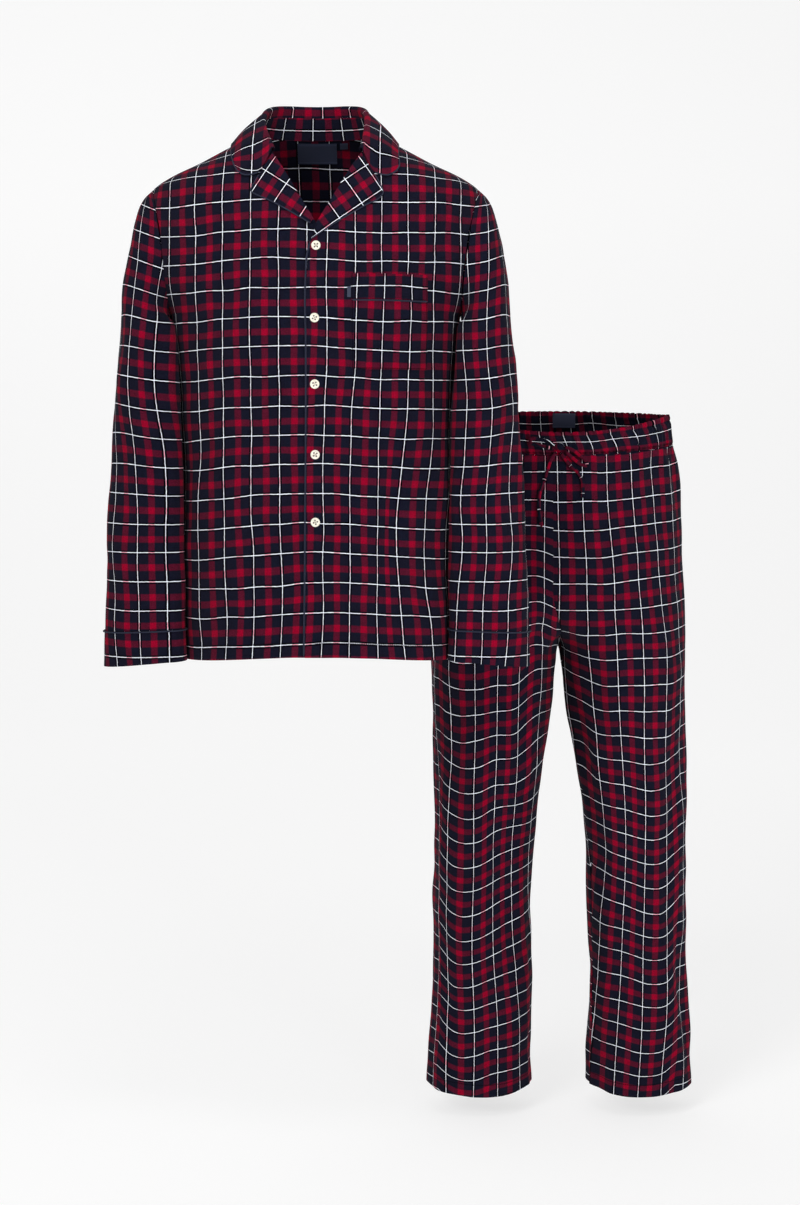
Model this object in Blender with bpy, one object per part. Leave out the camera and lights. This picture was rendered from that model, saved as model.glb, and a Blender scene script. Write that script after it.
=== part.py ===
# Men's pyjama set in brushed cotton: a long-sleeved shirt with a notched collar, and
# drawstring trousers.  Both stand filled out as worn, hollow and open at the neck, hems,
# cuffs and waist.  Every cut piece is a thin wall of cloth of its own, GAP from its
# neighbours, and whatever lies on a panel is made from that panel's own surface.
#
# Frame: metres, +Z up, the fronts look along -Y.  The origin is the middle of the shirt's
# neck at the height of its shoulder points.  Right and left are the wearer's: the
# wearer's left is at +X.  Tables are in millimetres; "down" is the distance below the
# origin and "drop" the distance below the sides of the trousers' waist.

import math

import bmesh
import bpy
import numpy as np

MM = 0.001
GAP = 0.3 * MM               # between two pieces at a seam
CLOTH = 1.5 * MM             # wall of one layer of flannel
TRIM = 0.6 * MM              # wall of a woven label
LAYER = 2.1 * MM             # from a panel's face to the face of what lies on it
ROUND = 2.1                  # exponent of the superellipse rings, 2 is an ellipse
STEP = 1e-4                  # step for slopes, in metres and radians

# Shirt
SHOULDER_TIP = 75 * MM       # down to the top of the armhole
UNDERARM = 250 * MM          # down to the bottom of the armhole
ARMHOLE_DEPTH = 62 * MM      # half the armhole's width, front to back
TIP_X = 224 * MM             # half the width across the shoulder tips
ARMHOLE_SAG = 5 * MM         # how far the armhole seam curves in between its ends
SHIRT_LENGTH = 724 * MM
HEM_RISE = 12 * MM           # the front hem's middle above its sides
ROLL_START = 33 * MM         # down to where the collar's fold meets the lapel's
ROLL_BREAK = 131 * MM        # down to the point of the neck opening
NECK_SHIFT = 5 * MM          # the neck opening's middle, towards the buttonhole side
OVERLAP_FROM = -55 * MM      # the under front dips below the top front from here
BUTTON_X = 1 * MM
BUTTON_DOWNS = (160, 255, 344, 441, 535)
BUTTON_RADIUS = 6.5 * MM
BUTTON_HEIGHT = 2.6 * MM
PIPING_RADIUS = 1.0 * MM
FOLD_RADIUS = 3.0 * MM       # of the collar's fold
FOLD_TAPER = 0.6 * MM        # how much less it is at the front ends
LEAF_BELLY = 3.0 * MM        # how far the collar's leaf bows out
COLLAR_GAP = 0.6 * MM        # from the neck seam to the collar's stand
ON_TOP = 2.5 * MM            # from a panel's face to the face of a collar or lapel on it
POCKET = {"left": 51 * MM, "right": 153 * MM, "top": 198 * MM, "bottom": 325 * MM}
POCKET_BAND = 35 * MM
CUFF_WALL = 2.2 * MM
CUFF_LIFT = 0.7 * MM         # the turned cuff's face stands off the sleeve's by this
LABEL_INSET = 0.8 * MM       # from the cloth's inner face to a label's face

# Trousers
WAIST_X = 359 * MM           # middle of the trousers
WAIST_Y = 260 * MM
WAIST_Z = -384 * MM          # height of the waist's sides
CASING = 46 * MM             # height of the elastic casing
GATHERS = 56                 # waves round the casing
GATHER_DEPTH = 1.8 * MM
PLEATS = 14                  # soft waves that run down from the casing
PLEAT_DEPTH = 3.0 * MM
PLEAT_LENGTH = 85 * MM
CASING_WALL = 2.0 * MM
WAIST_LABEL_INSET = 4.4 * MM
CORD_RADIUS = 2.6 * MM
KNOT_RADII = (6.4 * MM, 4.6 * MM, 5.6 * MM)
KNOT_LIFT = 5.6 * MM         # the knot's middle off the cloth

COLOURS = {
    "flannel": (0.045, 0.020, 0.038),
    "piping": (0.018, 0.022, 0.035),
    "button": (0.78, 0.74, 0.66),
    "label": (0.020, 0.028, 0.055),
}
ROUGHNESS = {"flannel": 0.92, "piping": 0.85, "button": 0.35, "label": 0.7}


def table(names, rows, unit=MM):
    """Named columns from rows of numbers; the first column rises and is looked up."""
    columns = np.array(rows, float).T * unit
    return dict(zip(names.split(), columns))


def read(sections, name, where):
    """A column's value at `where`: a cubic through the rows, level past both ends."""
    keys = sections[next(iter(sections))]
    values = sections[name]
    slopes = np.gradient(values, keys)
    x = np.clip(where, keys[0], keys[-1])
    i = np.clip(np.searchsorted(keys, x, side="right") - 1, 0, len(keys) - 2)
    span = keys[i + 1] - keys[i]
    t = (x - keys[i]) / span
    start = values[i] * (1 + 2 * t) * (1 - t) ** 2 + slopes[i] * span * t * (1 - t) ** 2
    end = values[i + 1] * t * t * (3 - 2 * t) + slopes[i + 1] * span * t * t * (t - 1)
    return start + end


def ease(t):
    t = np.clip(t, 0, 1)
    return t * t * (3 - 2 * t)


# ---------------------------------------------------------------- surfaces

# Half width and depths of the shirt's body.  Above the underarm "half" is the shoulder
# line; the armhole takes over between SHOULDER_TIP and UNDERARM.
TORSO = table("down half front back", [
    (0, 82, 64, 62),
    (12, 106, 75, 72),
    (26, 133, 86, 82),
    (42, 163.5, 96, 91),
    (58, 198, 104, 99),
    (75, 224, 110, 106),
    (110, 219, 118, 115),
    (160, 211, 124, 120),
    (250, 200, 130, 123),
    (300, 195, 131, 122),
    (360, 192.3, 130, 121),
    (450, 190.8, 128, 119),
    (560, 189.8, 127, 120),
    (724, 188.5, 126, 121),
])

# Soft folds of the shirt's body: where the middle lies (x, down), half length, half
# width, how far it stands out, and its lean from upright in degrees.
SHIRT_FOLDS = (
    # side   x   down long wide out lean
    ("front", -168, 215, 85, 17, 4.0, 14),
    ("front", 166, 205, 90, 16, 3.5, -16),
    ("front", -120, 590, 150, 24, 3.0, 4),
    ("front", 118, 560, 160, 26, 3.0, -3),
    ("front", -60, 470, 120, 22, -2.5, 2),
    ("back", -150, 230, 100, 20, 4.5, 12),
    ("back", 150, 225, 100, 20, 4.5, -12),
    ("back", -70, 560, 170, 30, 4.0, 3),
    ("back", 65, 520, 180, 30, 4.0, -4),
)

# Sleeve rings: the point furthest from the body, the point nearest to it, half the depth
# front to back, and how far the ring's middle lies forward.
SLEEVE = table("row outer_x outer_down inner_x inner_down depth forward", [
    (0, 224.5, 75, 200.5, 250, 62, 0),
    (1, 236, 86, 201.3, 251.6, 63.5, 0),
    (2, 245, 102, 201.8, 253.8, 65, 0),
    (3, 251.5, 124, 202, 256.5, 66.5, 1),
    (4, 257, 150, 202.2, 260.5, 67.5, 1),
    (5, 262, 182, 201.8, 266, 68, 5),
    (6, 266.5, 218, 200.6, 276, 68, 8),
    (7, 271, 268, 197.6, 300, 67, 12),
    (8, 275.5, 330, 194.2, 348, 64.5, 15),
    (9, 279.5, 388, 192.4, 400, 61.5, 17),
    (10, 283.5, 446, 191, 453, 58, 19),
    (11, 287.5, 505, 190, 508, 54.5, 21),
    (12, 291, 565, 188.8, 565, 50.5, 24),
    (13, 294, 625, 188, 624, 46, 27),
    (14, 295.5, 684, 188.6, 680, 40, 30),
    (15, 296.5, 734, 187, 724, 36, 31),
])
SLEEVE_END = 14              # row where the cuff is sewn on
CUFF_END = 15

# Folds of the sleeves: row, angle round the ring in degrees (0 outer, 90 front),
# half length in rows, half width in degrees, how far it stands out, lean.
SLEEVE_FOLDS = (
    (6.0, 70, 1.6, 22, -3.5, 0.020),
    (8.5, 105, 1.2, 26, 3.5, -0.018),
    (9.6, 60, 1.0, 20, -3.0, 0.022),
    (11.4, 95, 1.5, 24, 3.0, 0.012),
    (8.8, 250, 1.2, 28, 3.5, 0.018),
    (10.6, 285, 1.4, 26, -3.0, -0.015),
)

# Trouser rings: half width from the middle to the outseam, the inseam's place (negative
# where the ring still goes round the whole hip), half depth, sideways shift, and how far
# the ring's front hangs and its back rises.
LEGS = table("drop outer inner depth shift front_hang back_rise", [
    (0, 167, -167, 98, 0, 26, 6),
    (46, 173, -173, 104, 0, 14, 8),
    (75, 180, -180, 112, 0, 11, 8),
    (130, 186.5, -186.5, 123, 0, 7, 7),
    (192, 189.5, -189.5, 131, 0, 4, 5),
    (236, 191.5, -191.5, 134, 0, 2, 3),
    (262, 193, -148, 133, 0, 1, 1),
    (290, 194.5, -86, 131, 0, 0, 0),
    (320, 195.5, -31, 127, 0, 0, 0),
    (340, 196, -5, 123, 0, 0, 0),
    (350, 196, 0.8, 121, 0, 0, 0),
    (378, 196, 5, 116, 0.5, 0, 0),
    (440, 195, 11.5, 108, 2, 0, 0),
    (503, 194.5, 20.5, 101, 4, 0, 0),
    (566, 195, 30, 94, 5.5, 0, 0),
    (629, 195.5, 37, 88, 6, 0, 0),
    (692, 195.5, 42.5, 83, 6, 0, 0),
    (756, 196, 45, 79, 6, 0, 0),
    (819, 197.5, 46, 75, 7, 0, 0),
    (883, 200, 45.5, 71, 7.5, 0, 0),
    (948, 203, 44.5, 67, 8, 0, 0),
    (1012, 206.5, 43.5, 63, 8, 0, 0),
    (1052, 208, 43, 61, 8, 0, 0),
])
LEG_LENGTH = 1052 * MM

# How far each leg's cloth is turned round it, in degrees, so that its seams wander
TWIST = table("drop right left", [
    (0, 0, 0),
    (340, 0, 0),
    (420, 10, 5),
    (520, 20, 12),
    (700, 27, 17),
    (1052, 28, 18),
], unit=1)

# Folds of the legs: side (-1 is the wearer's right), angle round the leg in degrees
# (-90 is the front), drop, half length, half width, how far it stands out, lean.
LEG_FOLDS = (
    # side angle drop long wide out lean
    (-1, -115, 470, 190, 16, 4.0, 0.05),
    (-1, -75, 640, 170, 14, -3.5, 0.10),
    (-1, -125, 900, 160, 13, 3.5, -0.06),
    (1, -70, 480, 180, 16, 3.5, -0.06),
    (1, -120, 700, 200, 15, 4.0, -0.08),
    (1, -30, 925, 90, 12, -4.5, 0.04),
    (-1, 80, 560, 220, 18, 4.5, 0.04),
    (1, 95, 600, 220, 18, 4.5, -0.04),
    (-1, 60, 960, 130, 14, -3.5, 0.05),
    (1, 110, 930, 130, 14, -3.5, -0.05),
)


def ring(angle, half, depth):
    """A superellipse round the Z axis; angle 0 is +X and 90 degrees is +Y."""
    c = np.cos(angle)
    s = np.sin(angle)
    x = half * np.sign(c) * np.abs(c) ** (2 / ROUND)
    y = depth * np.sign(s) * np.abs(s) ** (2 / ROUND)
    return x, y


def angle_at(x, half):
    """The angle from 0 to 180 degrees at which a ring of this half width is at x."""
    share = np.clip(x / half, -1, 1)
    return np.arccos(np.sign(share) * np.abs(share) ** (ROUND / 2))


def armhole_half_depth(down):
    middle = (UNDERARM + SHOULDER_TIP) / 2
    reach = (UNDERARM - SHOULDER_TIP) / 2
    level = np.clip((down - middle) / reach, -1, 1)
    return ARMHOLE_DEPTH * np.sqrt(1 - level ** 2)


def armhole_x(down):
    """Where the armhole seam lies: a line from tip to underarm that curves in a little."""
    t = np.clip((down - SHOULDER_TIP) / (UNDERARM - SHOULDER_TIP), 0, 1)
    bottom = read(TORSO, "half", UNDERARM)
    return TIP_X + (bottom - TIP_X) * t - 4 * ARMHOLE_SAG * t * (1 - t)


def body_half(down, depth):
    """The ring's half width, so that the ring passes through the armhole seam."""
    inside = (down > SHOULDER_TIP) & (down < UNDERARM)
    side = np.where(inside, armhole_x(down), read(TORSO, "half", down))
    share = armhole_half_depth(down) / depth
    return side / (1 - share ** ROUND) ** (1 / ROUND)


def fold_sum(folds, across, along, scale=MM):
    """Soft ridges and troughs: bells across each fold's line, fading at both ends."""
    total = np.zeros(np.broadcast(across, along).shape)
    for at, where, half_length, half_width, out, slope in folds:
        off = (across - at - slope * (along - where)) / half_width
        end = (along - where) / half_length
        total = total + out * scale * np.exp(-off ** 2 - end ** 2)
    return total


def shirt_body(angle, down):
    """The outer face of the shirt's body at an angle round it and a distance down."""
    front = np.sin(angle) < 0
    depth = np.where(front, read(TORSO, "front", down), read(TORSO, "back", down))
    x, y = ring(angle, body_half(down, depth), depth)
    side = np.where(front, 1, 0)
    push = np.zeros(x.shape)
    for name, mask in (("front", side), ("back", 1 - side)):
        rows = [(f[1] * MM, f[2] * MM, f[3] * MM, f[4] * MM, f[5],
                 math.tan(math.radians(f[6]))) for f in SHIRT_FOLDS if f[0] == name]
        push = push + mask * fold_sum(rows, x, down)
    facing = np.abs(np.sin(angle)) ** 1.5
    y = y + np.sign(y) * push * facing
    rise = HEM_RISE * ease((down - UNDERARM) / (SHIRT_LENGTH - UNDERARM))
    z = -down + rise * np.where(front, facing ** 2, 0)
    return np.stack([x, y, z], -1)


def front_angle(x, down):
    """The angle at which the shirt's front is at x."""
    return -angle_at(x, body_half(down, read(TORSO, "front", down)))


def sleeve(angle, row):
    """The wearer's left sleeve: rings that turn from the armhole down to the cuff."""
    middle_x = (read(SLEEVE, "outer_x", row * MM) + read(SLEEVE, "inner_x", row * MM)) / 2
    middle_d = (read(SLEEVE, "outer_down", row * MM) + read(SLEEVE, "inner_down", row * MM)) / 2
    reach_x = read(SLEEVE, "outer_x", row * MM) - middle_x
    reach_d = read(SLEEVE, "outer_down", row * MM) - middle_d
    depth = read(SLEEVE, "depth", row * MM)
    forward = read(SLEEVE, "forward", row * MM)
    turned = np.degrees(angle) % 360
    folds = [(f[1], f[0], f[2], f[3], f[4], f[5]) for f in SLEEVE_FOLDS]
    swell = 1 + fold_sum(folds, turned, row) / (50 * MM)
    blend = ease(row / 3)
    power = 2 + blend * (ROUND + 0.15 - 2)
    c = np.sign(np.cos(angle)) * np.abs(np.cos(angle)) ** (2 / power) * swell
    s = np.sign(np.sin(angle)) * np.abs(np.sin(angle)) ** (2 / power) * swell
    sag = ARMHOLE_SAG * (1 - ease(row / 6)) * np.sin(angle) ** 2
    x = middle_x + reach_x * c - sag + GAP
    y = -depth * s - forward
    z = -(middle_d + reach_d * c)
    return np.stack([x, y, z], -1)


def trouser_ring(side, angle, drop):
    """The trousers' outer face.  The angle goes round the whole hip above the fork and
    round one leg below it; the ring of each side shrinks from one to the other."""
    outer = read(LEGS, "outer", drop)
    inner = read(LEGS, "inner", drop)
    depth = read(LEGS, "depth", drop)
    x, y = ring(angle, (outer - inner) / 2, depth)
    below = ease((drop - CASING) / (PLEAT_LENGTH * 0.35))
    fade = np.exp(-np.maximum(drop - CASING, 0) / PLEAT_LENGTH)
    ripple = PLEAT_DEPTH * below * fade * np.cos(PLEATS * angle + 0.8)
    folds = [(f[1], f[2] * MM, f[3] * MM, f[4], f[5], f[6] / MM)
             for f in LEG_FOLDS if f[0] == side]
    turned = (np.degrees(angle) + 180) % 360 - 180
    turned = np.where(side < 0, -180 - turned, turned)
    turned = (turned + 180) % 360 - 180
    push = ripple + fold_sum(folds, turned, drop)
    x = x + push * np.cos(angle)
    y = y + push * np.sin(angle)
    front = np.maximum(-np.sin(angle), 0) ** 2
    back = np.maximum(np.sin(angle), 0) ** 2
    hang = read(LEGS, "back_rise", drop) * back - read(LEGS, "front_hang", drop) * front
    x = side * (x + (outer + inner) / 2) + read(LEGS, "shift", drop) + WAIST_X
    return np.stack([x, y + WAIST_Y, WAIST_Z - drop + hang], -1)


def casing_ring(angle, drop):
    """The gathered casing: a ring that waves in and out round the waist."""
    wave = GATHER_DEPTH * np.cos(GATHERS * angle)
    bulge = GATHER_DEPTH * np.sin(math.pi * np.clip(drop / CASING, 0, 1))
    point = trouser_ring(1, angle, drop)
    push = wave + bulge
    away = np.stack([np.cos(angle), np.sin(angle), 0 * angle], -1)
    return point + push[..., None] * away


# ---------------------------------------------------------------- making solids

def unit(vectors):
    return vectors / np.linalg.norm(vectors, axis=-1, keepdims=True)


def facing_out(surface, u, v):
    """Unit normals of a surface whose u runs anticlockwise from above and v down."""
    du = surface(u + STEP, v) - surface(u - STEP, v)
    dv = surface(u, v + STEP) - surface(u, v - STEP)
    return unit(np.cross(dv, du))


def new_object(name, mesh, finish):
    mesh.materials.append(finishes[finish])
    made = bpy.data.objects.new(name, mesh)
    bpy.context.collection.objects.link(made)
    return made


def solid(name, outer, inner, finish="flannel", closed=False):
    """A wall between two grids of points of the same size."""
    rows, columns = outer.shape[:2]
    points = np.concatenate([outer.reshape(-1, 3), inner.reshape(-1, 3)])
    index = np.arange(rows * columns).reshape(rows, columns)
    if closed:
        index = np.hstack([index, index[:, :1]])
    under = index + rows * columns
    faces = []

    def strip(a, b, turned=False):
        near = list(zip(a[:-1], b[:-1], b[1:]))
        far = list(zip(a[:-1], b[1:], a[1:]))
        faces.extend(face[::-1] if turned else face for face in near + far)

    # Both faces of the wall are cut along the same diagonals, so it keeps its thickness
    for i in range(rows - 1):
        strip(index[i], index[i + 1])
        strip(under[i], under[i + 1], turned=True)
    strip(under[0], index[0])
    strip(index[-1], under[-1])
    if not closed:
        strip(index[:, 0], under[:, 0])
        strip(under[:, -1], index[:, -1])
    mesh = bpy.data.meshes.new(name)
    mesh.from_pydata(points.tolist(), [], [[int(i) for i in face] for face in faces])
    shape = bmesh.new()
    shape.from_mesh(mesh)
    bmesh.ops.recalc_face_normals(shape, faces=shape.faces)
    shape.to_mesh(mesh)
    shape.free()
    mesh.shade_smooth()
    mesh.set_sharp_from_angle(angle=math.radians(50))
    return new_object(name, mesh, finish)


def wall(name, surface, u, v, thick=CLOTH, lift=0.0, finish="flannel", closed=False):
    """Cloth on a surface: its face is `lift` above the surface, its wall goes inward."""
    face = surface(u, v)
    normal = facing_out(surface, u, v)
    outer = face + lift * normal
    return solid(name, outer, outer - thick * normal, finish, closed)


def grid(rows, columns, left, right):
    """u and v of a panel whose edges at each row are left and right."""
    across = np.linspace(0, 1, columns)
    u = left[:, None] + (right - left)[:, None] * across
    v = np.repeat(rows[:, None], columns, 1)
    return u, v


def tube(name, points, radius, finish, closed=False, resolution=1):
    """A round cord through points."""
    curve = bpy.data.curves.new(name, "CURVE")
    curve.dimensions = "3D"
    curve.bevel_depth = radius
    curve.bevel_resolution = resolution
    curve.use_fill_caps = not closed
    spline = curve.splines.new("POLY")
    spline.points.add(len(points) - 1)
    for point, place in zip(spline.points, points):
        point.co = (*place, 1)
    spline.use_cyclic_u = closed
    curve.materials.append(finishes[finish])
    made = bpy.data.objects.new(name, curve)
    bpy.context.collection.objects.link(made)
    return made


def through(points, count):
    """Evenly spaced points on a smooth curve through the given ones."""
    points = np.array(points, float)
    steps = np.linalg.norm(np.diff(points, axis=0), axis=1)
    along = np.concatenate([[0], np.cumsum(steps)])
    route = dict(zip(("along", "x", "y", "z"), (along, *points.T)))
    where = np.linspace(0, along[-1], count)
    return np.stack([read(route, axis, where) for axis in ("x", "y", "z")], -1)


# ---------------------------------------------------------------- shirt

def body_rows():
    """Rows down the shirt's body; those of the armhole are its ring's own points."""
    shoulder = np.array([0, 12, 26, 42, 58]) * MM
    turn = np.linspace(0, math.pi, 9)
    middle = (UNDERARM + SHOULDER_TIP) / 2
    armhole = middle - (UNDERARM - SHOULDER_TIP) / 2 * np.cos(turn)
    below = np.linspace(UNDERARM, SHIRT_LENGTH, 9)[1:]
    return np.concatenate([shoulder, armhole, below])


def side_angle(down, depth):
    """The angle at which a panel ends: the armhole, or half a gap off the side seam."""
    share = (armhole_half_depth(down) + GAP / 2) / depth
    return np.arcsin(share ** (ROUND / 2))


# Inner edges of the fronts.  "open" is the half width of the neck opening; below the
# break the top front goes on to its piped edge and the under front beneath it.
OPENING = table("down open", [
    (0, 81), (1, 79.5), (4.5, 75), (10, 71), (18, 67.5), (26, 64.5), (33, 60.5), (58, 44.5),
    (86, 27.5), (110, 13), (131, 0),
])
TOP_EDGE = table("down x", [(131, 5), (153, -6), (172, -11), (200, -13), (724, -15)])
UNDER_EDGE = table("down x", [(131, 5), (150, 14), (172, 19), (200, 20), (724, 20)])


def inner_edge(side, down):
    opening = side * read(OPENING, "open", down) + NECK_SHIFT * ease(down / ROLL_START)
    edge = TOP_EDGE if side > 0 else UNDER_EDGE
    return np.where(down < ROLL_BREAK, opening, read(edge, "x", down))


def make_body():
    rows = body_rows()
    back_side = side_angle(rows, read(TORSO, "back", rows))
    u, v = grid(rows, 17, back_side, math.pi - back_side)
    wall("shirt_back", shirt_body, u, v)

    neck = np.array([1, 4.5, 10, 18, 33]) * MM
    rows = np.unique(np.concatenate([rows[rows != 12 * MM], neck, [ROLL_BREAK, 153 * MM]]))
    front_side = side_angle(rows, read(TORSO, "front", rows))
    inner = front_angle(inner_edge(1, rows), rows)
    u, v = grid(rows, 10, inner, -front_side)
    wall("shirt_front_left", shirt_body, u, v)

    inner = front_angle(inner_edge(-1, rows), rows)
    u, v = grid(rows, 10, front_side - math.pi, inner)
    wall("shirt_front_right", under_front, u, v)


def under_front(angle, down):
    """The under front: the body's surface, sunk where the top front covers it."""
    point = shirt_body(angle, down)
    cover = ease((point[..., 0] - OVERLAP_FROM) / (30 * MM))
    low = cover * ease((down - 90 * MM) / (25 * MM))
    out = facing_out(shirt_body, angle, down)
    return point - (LAYER * low)[..., None] * out


def on_front(x, down, lift=0.0):
    """A point on the shirt's front, moved out by lift."""
    angle = front_angle(x, down)
    face = shirt_body(angle, down)
    return face + lift * facing_out(shirt_body, angle, down)


def mirrored(points):
    return points * np.array([-1, 1, 1])


def sleeve_wall(name, side, first, last, count, thick, lift=0.0):
    around = np.linspace(0, 2 * math.pi, 16, endpoint=False)
    rows = np.linspace(first, last, count)
    u, v = np.meshgrid(around, rows)
    out = facing_out(sleeve, u, v)
    face = sleeve(u, v)
    # The ring runs the other way round from the body's, so the normal may point in
    centre = face.mean(axis=1, keepdims=True)
    turn = np.sign(((face - centre) * out).sum(-1).mean())
    outer = face + lift * turn * out
    inner = outer - thick * turn * out
    if side < 0:
        outer = mirrored(outer)
        inner = mirrored(inner)
    return solid(name, outer, inner, closed=True)


def make_sleeves():
    for side, name in ((1, "left"), (-1, "right")):
        sleeve_wall("sleeve_" + name, side, 0, SLEEVE_END - 0.004, 15, CLOTH)
        sleeve_wall("cuff_" + name, side, SLEEVE_END + 0.004, CUFF_END, 3, CUFF_WALL, CUFF_LIFT)
        around = np.linspace(0, 2 * math.pi, 24, endpoint=False)
        row = np.full(around.shape, SLEEVE_END + 0.02)
        out = facing_out(sleeve, around, row)
        face = sleeve(around, row)
        turn = np.sign(((face - face.mean(axis=0)) * out).sum(-1).mean())
        points = face + turn * (CUFF_LIFT + 2 * GAP + PIPING_RADIUS) * out
        tube("cuff_piping_" + name, points if side > 0 else mirrored(points),
             PIPING_RADIUS, "piping", closed=True)


# ---------------------------------------------------------------- collar and lapels

# Right half of the collar from the middle of the back to its front end: its neck seam on
# the shirt's body, the top of its fold, and the leaf's free edge on the body.  A distance
# down of 0 is the back's neck ring.
COLLAR = table("seam_x seam_down fold_x fold_y fold_z edge_x edge_down", [
    (0, 0, 0, 61, 46, 0, 20),
    (24, 0, 21, 58.5, 46, 33, 19.5),
    (46, 0, 40, 50, 45.5, 63, 18.5),
    (65, 0, 56, 36, 43, 88, 17),
    (77, 0, 65, 19, 38.5, 103.5, 15.5),
    (82, 0, 69, 3, 32.5, 110, 15),
    (79.5, 1, 70.5, -14, 24.5, 112, 19),
    (75, 4.5, 69.5, -31, 14, 112, 26),
    (71, 10, 67.5, -48, 2.5, 111.5, 35),
    (67.5, 18, 64.5, -64, -9, 111, 44),
    (64.5, 26, 61, -77.5, -20.5, 110, 53),
    (60.5, 33, 57.5, -86.5, -30, 106, 61),
])
COLLAR_SIDE = 5              # the station at the shoulder point
# The leaf's front end, from the fold along the gorge seam to the notch, then along the
# free lower edge to the rounded corner.
COLLAR_END = table("share x down", [
    (0, 57.5, 31.5), (200, 66.5, 48), (400, 76, 65), (600, 86, 67.5), (800, 97, 67), (1000, 106, 61),
])
LAPELS = {
    1: table("share x down", [
        (0, 77.5, 67), (120, 83.5, 78), (220, 88, 88), (270, 87.5, 92.5), (330, 83, 97.5),
        (480, 65.5, 107), (1000, -11, 154.5),
    ]),
    -1: table("share x down", [
        (0, 76.5, 67), (120, 82, 77), (220, 86.5, 86), (270, 86, 89.5), (330, 81.5, 92.5),
        (480, 66, 99.5), (1000, 4, 133.5),
    ]),
}


def body_point(x, down, face, lift):
    """A point on the shirt's body given by x; face is positive on its back."""
    depth = np.where(face > 0, read(TORSO, "back", down), read(TORSO, "front", down))
    angle = np.sign(face) * angle_at(x, body_half(down, depth))
    out = facing_out(shirt_body, angle, down)
    return shirt_body(angle, down) + lift * out, out


def collar_half(side):
    """A grid of one half of the collar: a row for each station, from the neck seam over
    the fold to the leaf's edge.  It is worked out at +X and mirrored for side -1."""
    count = len(COLLAR["seam_x"])
    station = np.arange(count)
    face = np.where(station <= COLLAR_SIDE, 1, -1)
    down = COLLAR["seam_down"]
    shift = side * NECK_SHIFT * ease(down / ROLL_START)
    ahead = ease((station - COLLAR_SIDE) / (count - 1 - COLLAR_SIDE))[:, None]
    seam, body_out = body_point(COLLAR["seam_x"] + shift, down, face, -CLOTH)
    flat_out = unit(body_out * np.array([1, 1, 0]))
    out = unit(flat_out + ahead * (body_out - flat_out))
    aside = np.outer(shift, [1, 0, 0])
    fold = np.stack([COLLAR["fold_x"], COLLAR["fold_y"], COLLAR["fold_z"]], -1) + aside
    tip = unit(np.cross(unit(np.gradient(fold, axis=0)), out))
    seam = seam + COLLAR_GAP * tip
    edge, _ = body_point(COLLAR["edge_x"] + shift, COLLAR["edge_down"], face, ON_TOP)
    radius = FOLD_RADIUS - FOLD_TAPER * ahead
    behind = fold - radius * (out + tip)
    before = fold + radius * (out - tip)
    profile = [seam, seam + 0.5 * (behind - seam), behind, fold - 0.3 * radius * (out + tip),
               fold + 0.3 * radius * (2 * out - tip)]
    near_end = ease((station - (count - 3.5)) / 2.5)[:, None]
    for share in np.linspace(0, 1, 6):
        straight = before + share * (edge - before)
        belly = math.sin(math.pi * share) * LEAF_BELLY * out * (1 - near_end)
        end_x = read(COLLAR_END, "x", share) + shift[-1:]
        end, _ = body_point(end_x, read(COLLAR_END, "down", share), np.array([-1]), ON_TOP)
        end = end + (1 - share) ** 4 * (before[-1] - end)
        profile.append(straight + belly + near_end * (end - straight[-1]))
    grid_points = np.stack(profile, 1)
    return grid_points if side > 0 else mirrored(grid_points)


def grid_normals(points):
    across = np.gradient(points, axis=1)
    along = np.gradient(points, axis=0)
    return unit(np.cross(along, across))


def make_collar():
    halves = np.concatenate([collar_half(-1)[::-1], collar_half(1)[1:]])
    face = halves.transpose(1, 0, 2)
    out = grid_normals(face)
    solid("collar", face, face - CLOTH * out)


def lapel_point(side, share, across):
    """A point of a lapel in the front view: across 0 on the roll line, 1 at the edge."""
    last = ROLL_BREAK + (22 if side > 0 else -4) * MM
    down = ROLL_START + 3 * MM + share * (last - ROLL_START - 3 * MM)
    roll = inner_edge(side, down)
    edge_x = side * read(LAPELS[side], "x", share) + NECK_SHIFT
    edge_down = read(LAPELS[side], "down", share)
    x = roll + across * (edge_x - roll)
    return x, down + across * (edge_down - down)


def make_lapels():
    for side, name in ((1, "left"), (-1, "right")):
        share = np.linspace(0, 0.97, 9)
        across = np.linspace(0, 1, 7)
        grid_share, grid_across = np.meshgrid(share, across, indexing="ij")
        x, down = lapel_point(side, grid_share, grid_across)
        angle = front_angle(x, down)
        out = facing_out(shirt_body, angle, down)
        face = shirt_body(angle, down) + ON_TOP * out
        solid("lapel_" + name, face, face - CLOTH * out)


# ---------------------------------------------------------------- on the fronts

def patch(name, left, right, top, bottom, columns, rows, thick=CLOTH, lift=LAYER,
          finish="flannel"):
    """A flat piece on the shirt's front between two x and two distances down."""
    across, down = np.meshgrid(np.linspace(left, right, columns), np.linspace(top, bottom, rows))
    angle = front_angle(across, down)
    return wall(name, shirt_body, angle, down, thick, lift, finish)


def make_pocket():
    p = POCKET
    seam = p["top"] + POCKET_BAND
    patch("pocket_band", p["left"], p["right"], p["top"], seam - GAP, 7, 3)
    patch("chest_pocket", p["left"], p["right"], seam + GAP, p["bottom"], 7, 5)
    x = np.linspace(p["left"] + MM, p["right"] - MM, 8)
    tube("pocket_piping", on_front(x, np.full(8, seam), LAYER + GAP + PIPING_RADIUS),
         PIPING_RADIUS, "piping")
    patch("pocket_tab", p["left"] - 5 * MM, p["left"] - GAP, p["top"] + 17 * MM,
          p["top"] + 31 * MM, 2, 3, 1.0 * MM, 1.4 * MM, "label")


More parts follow.
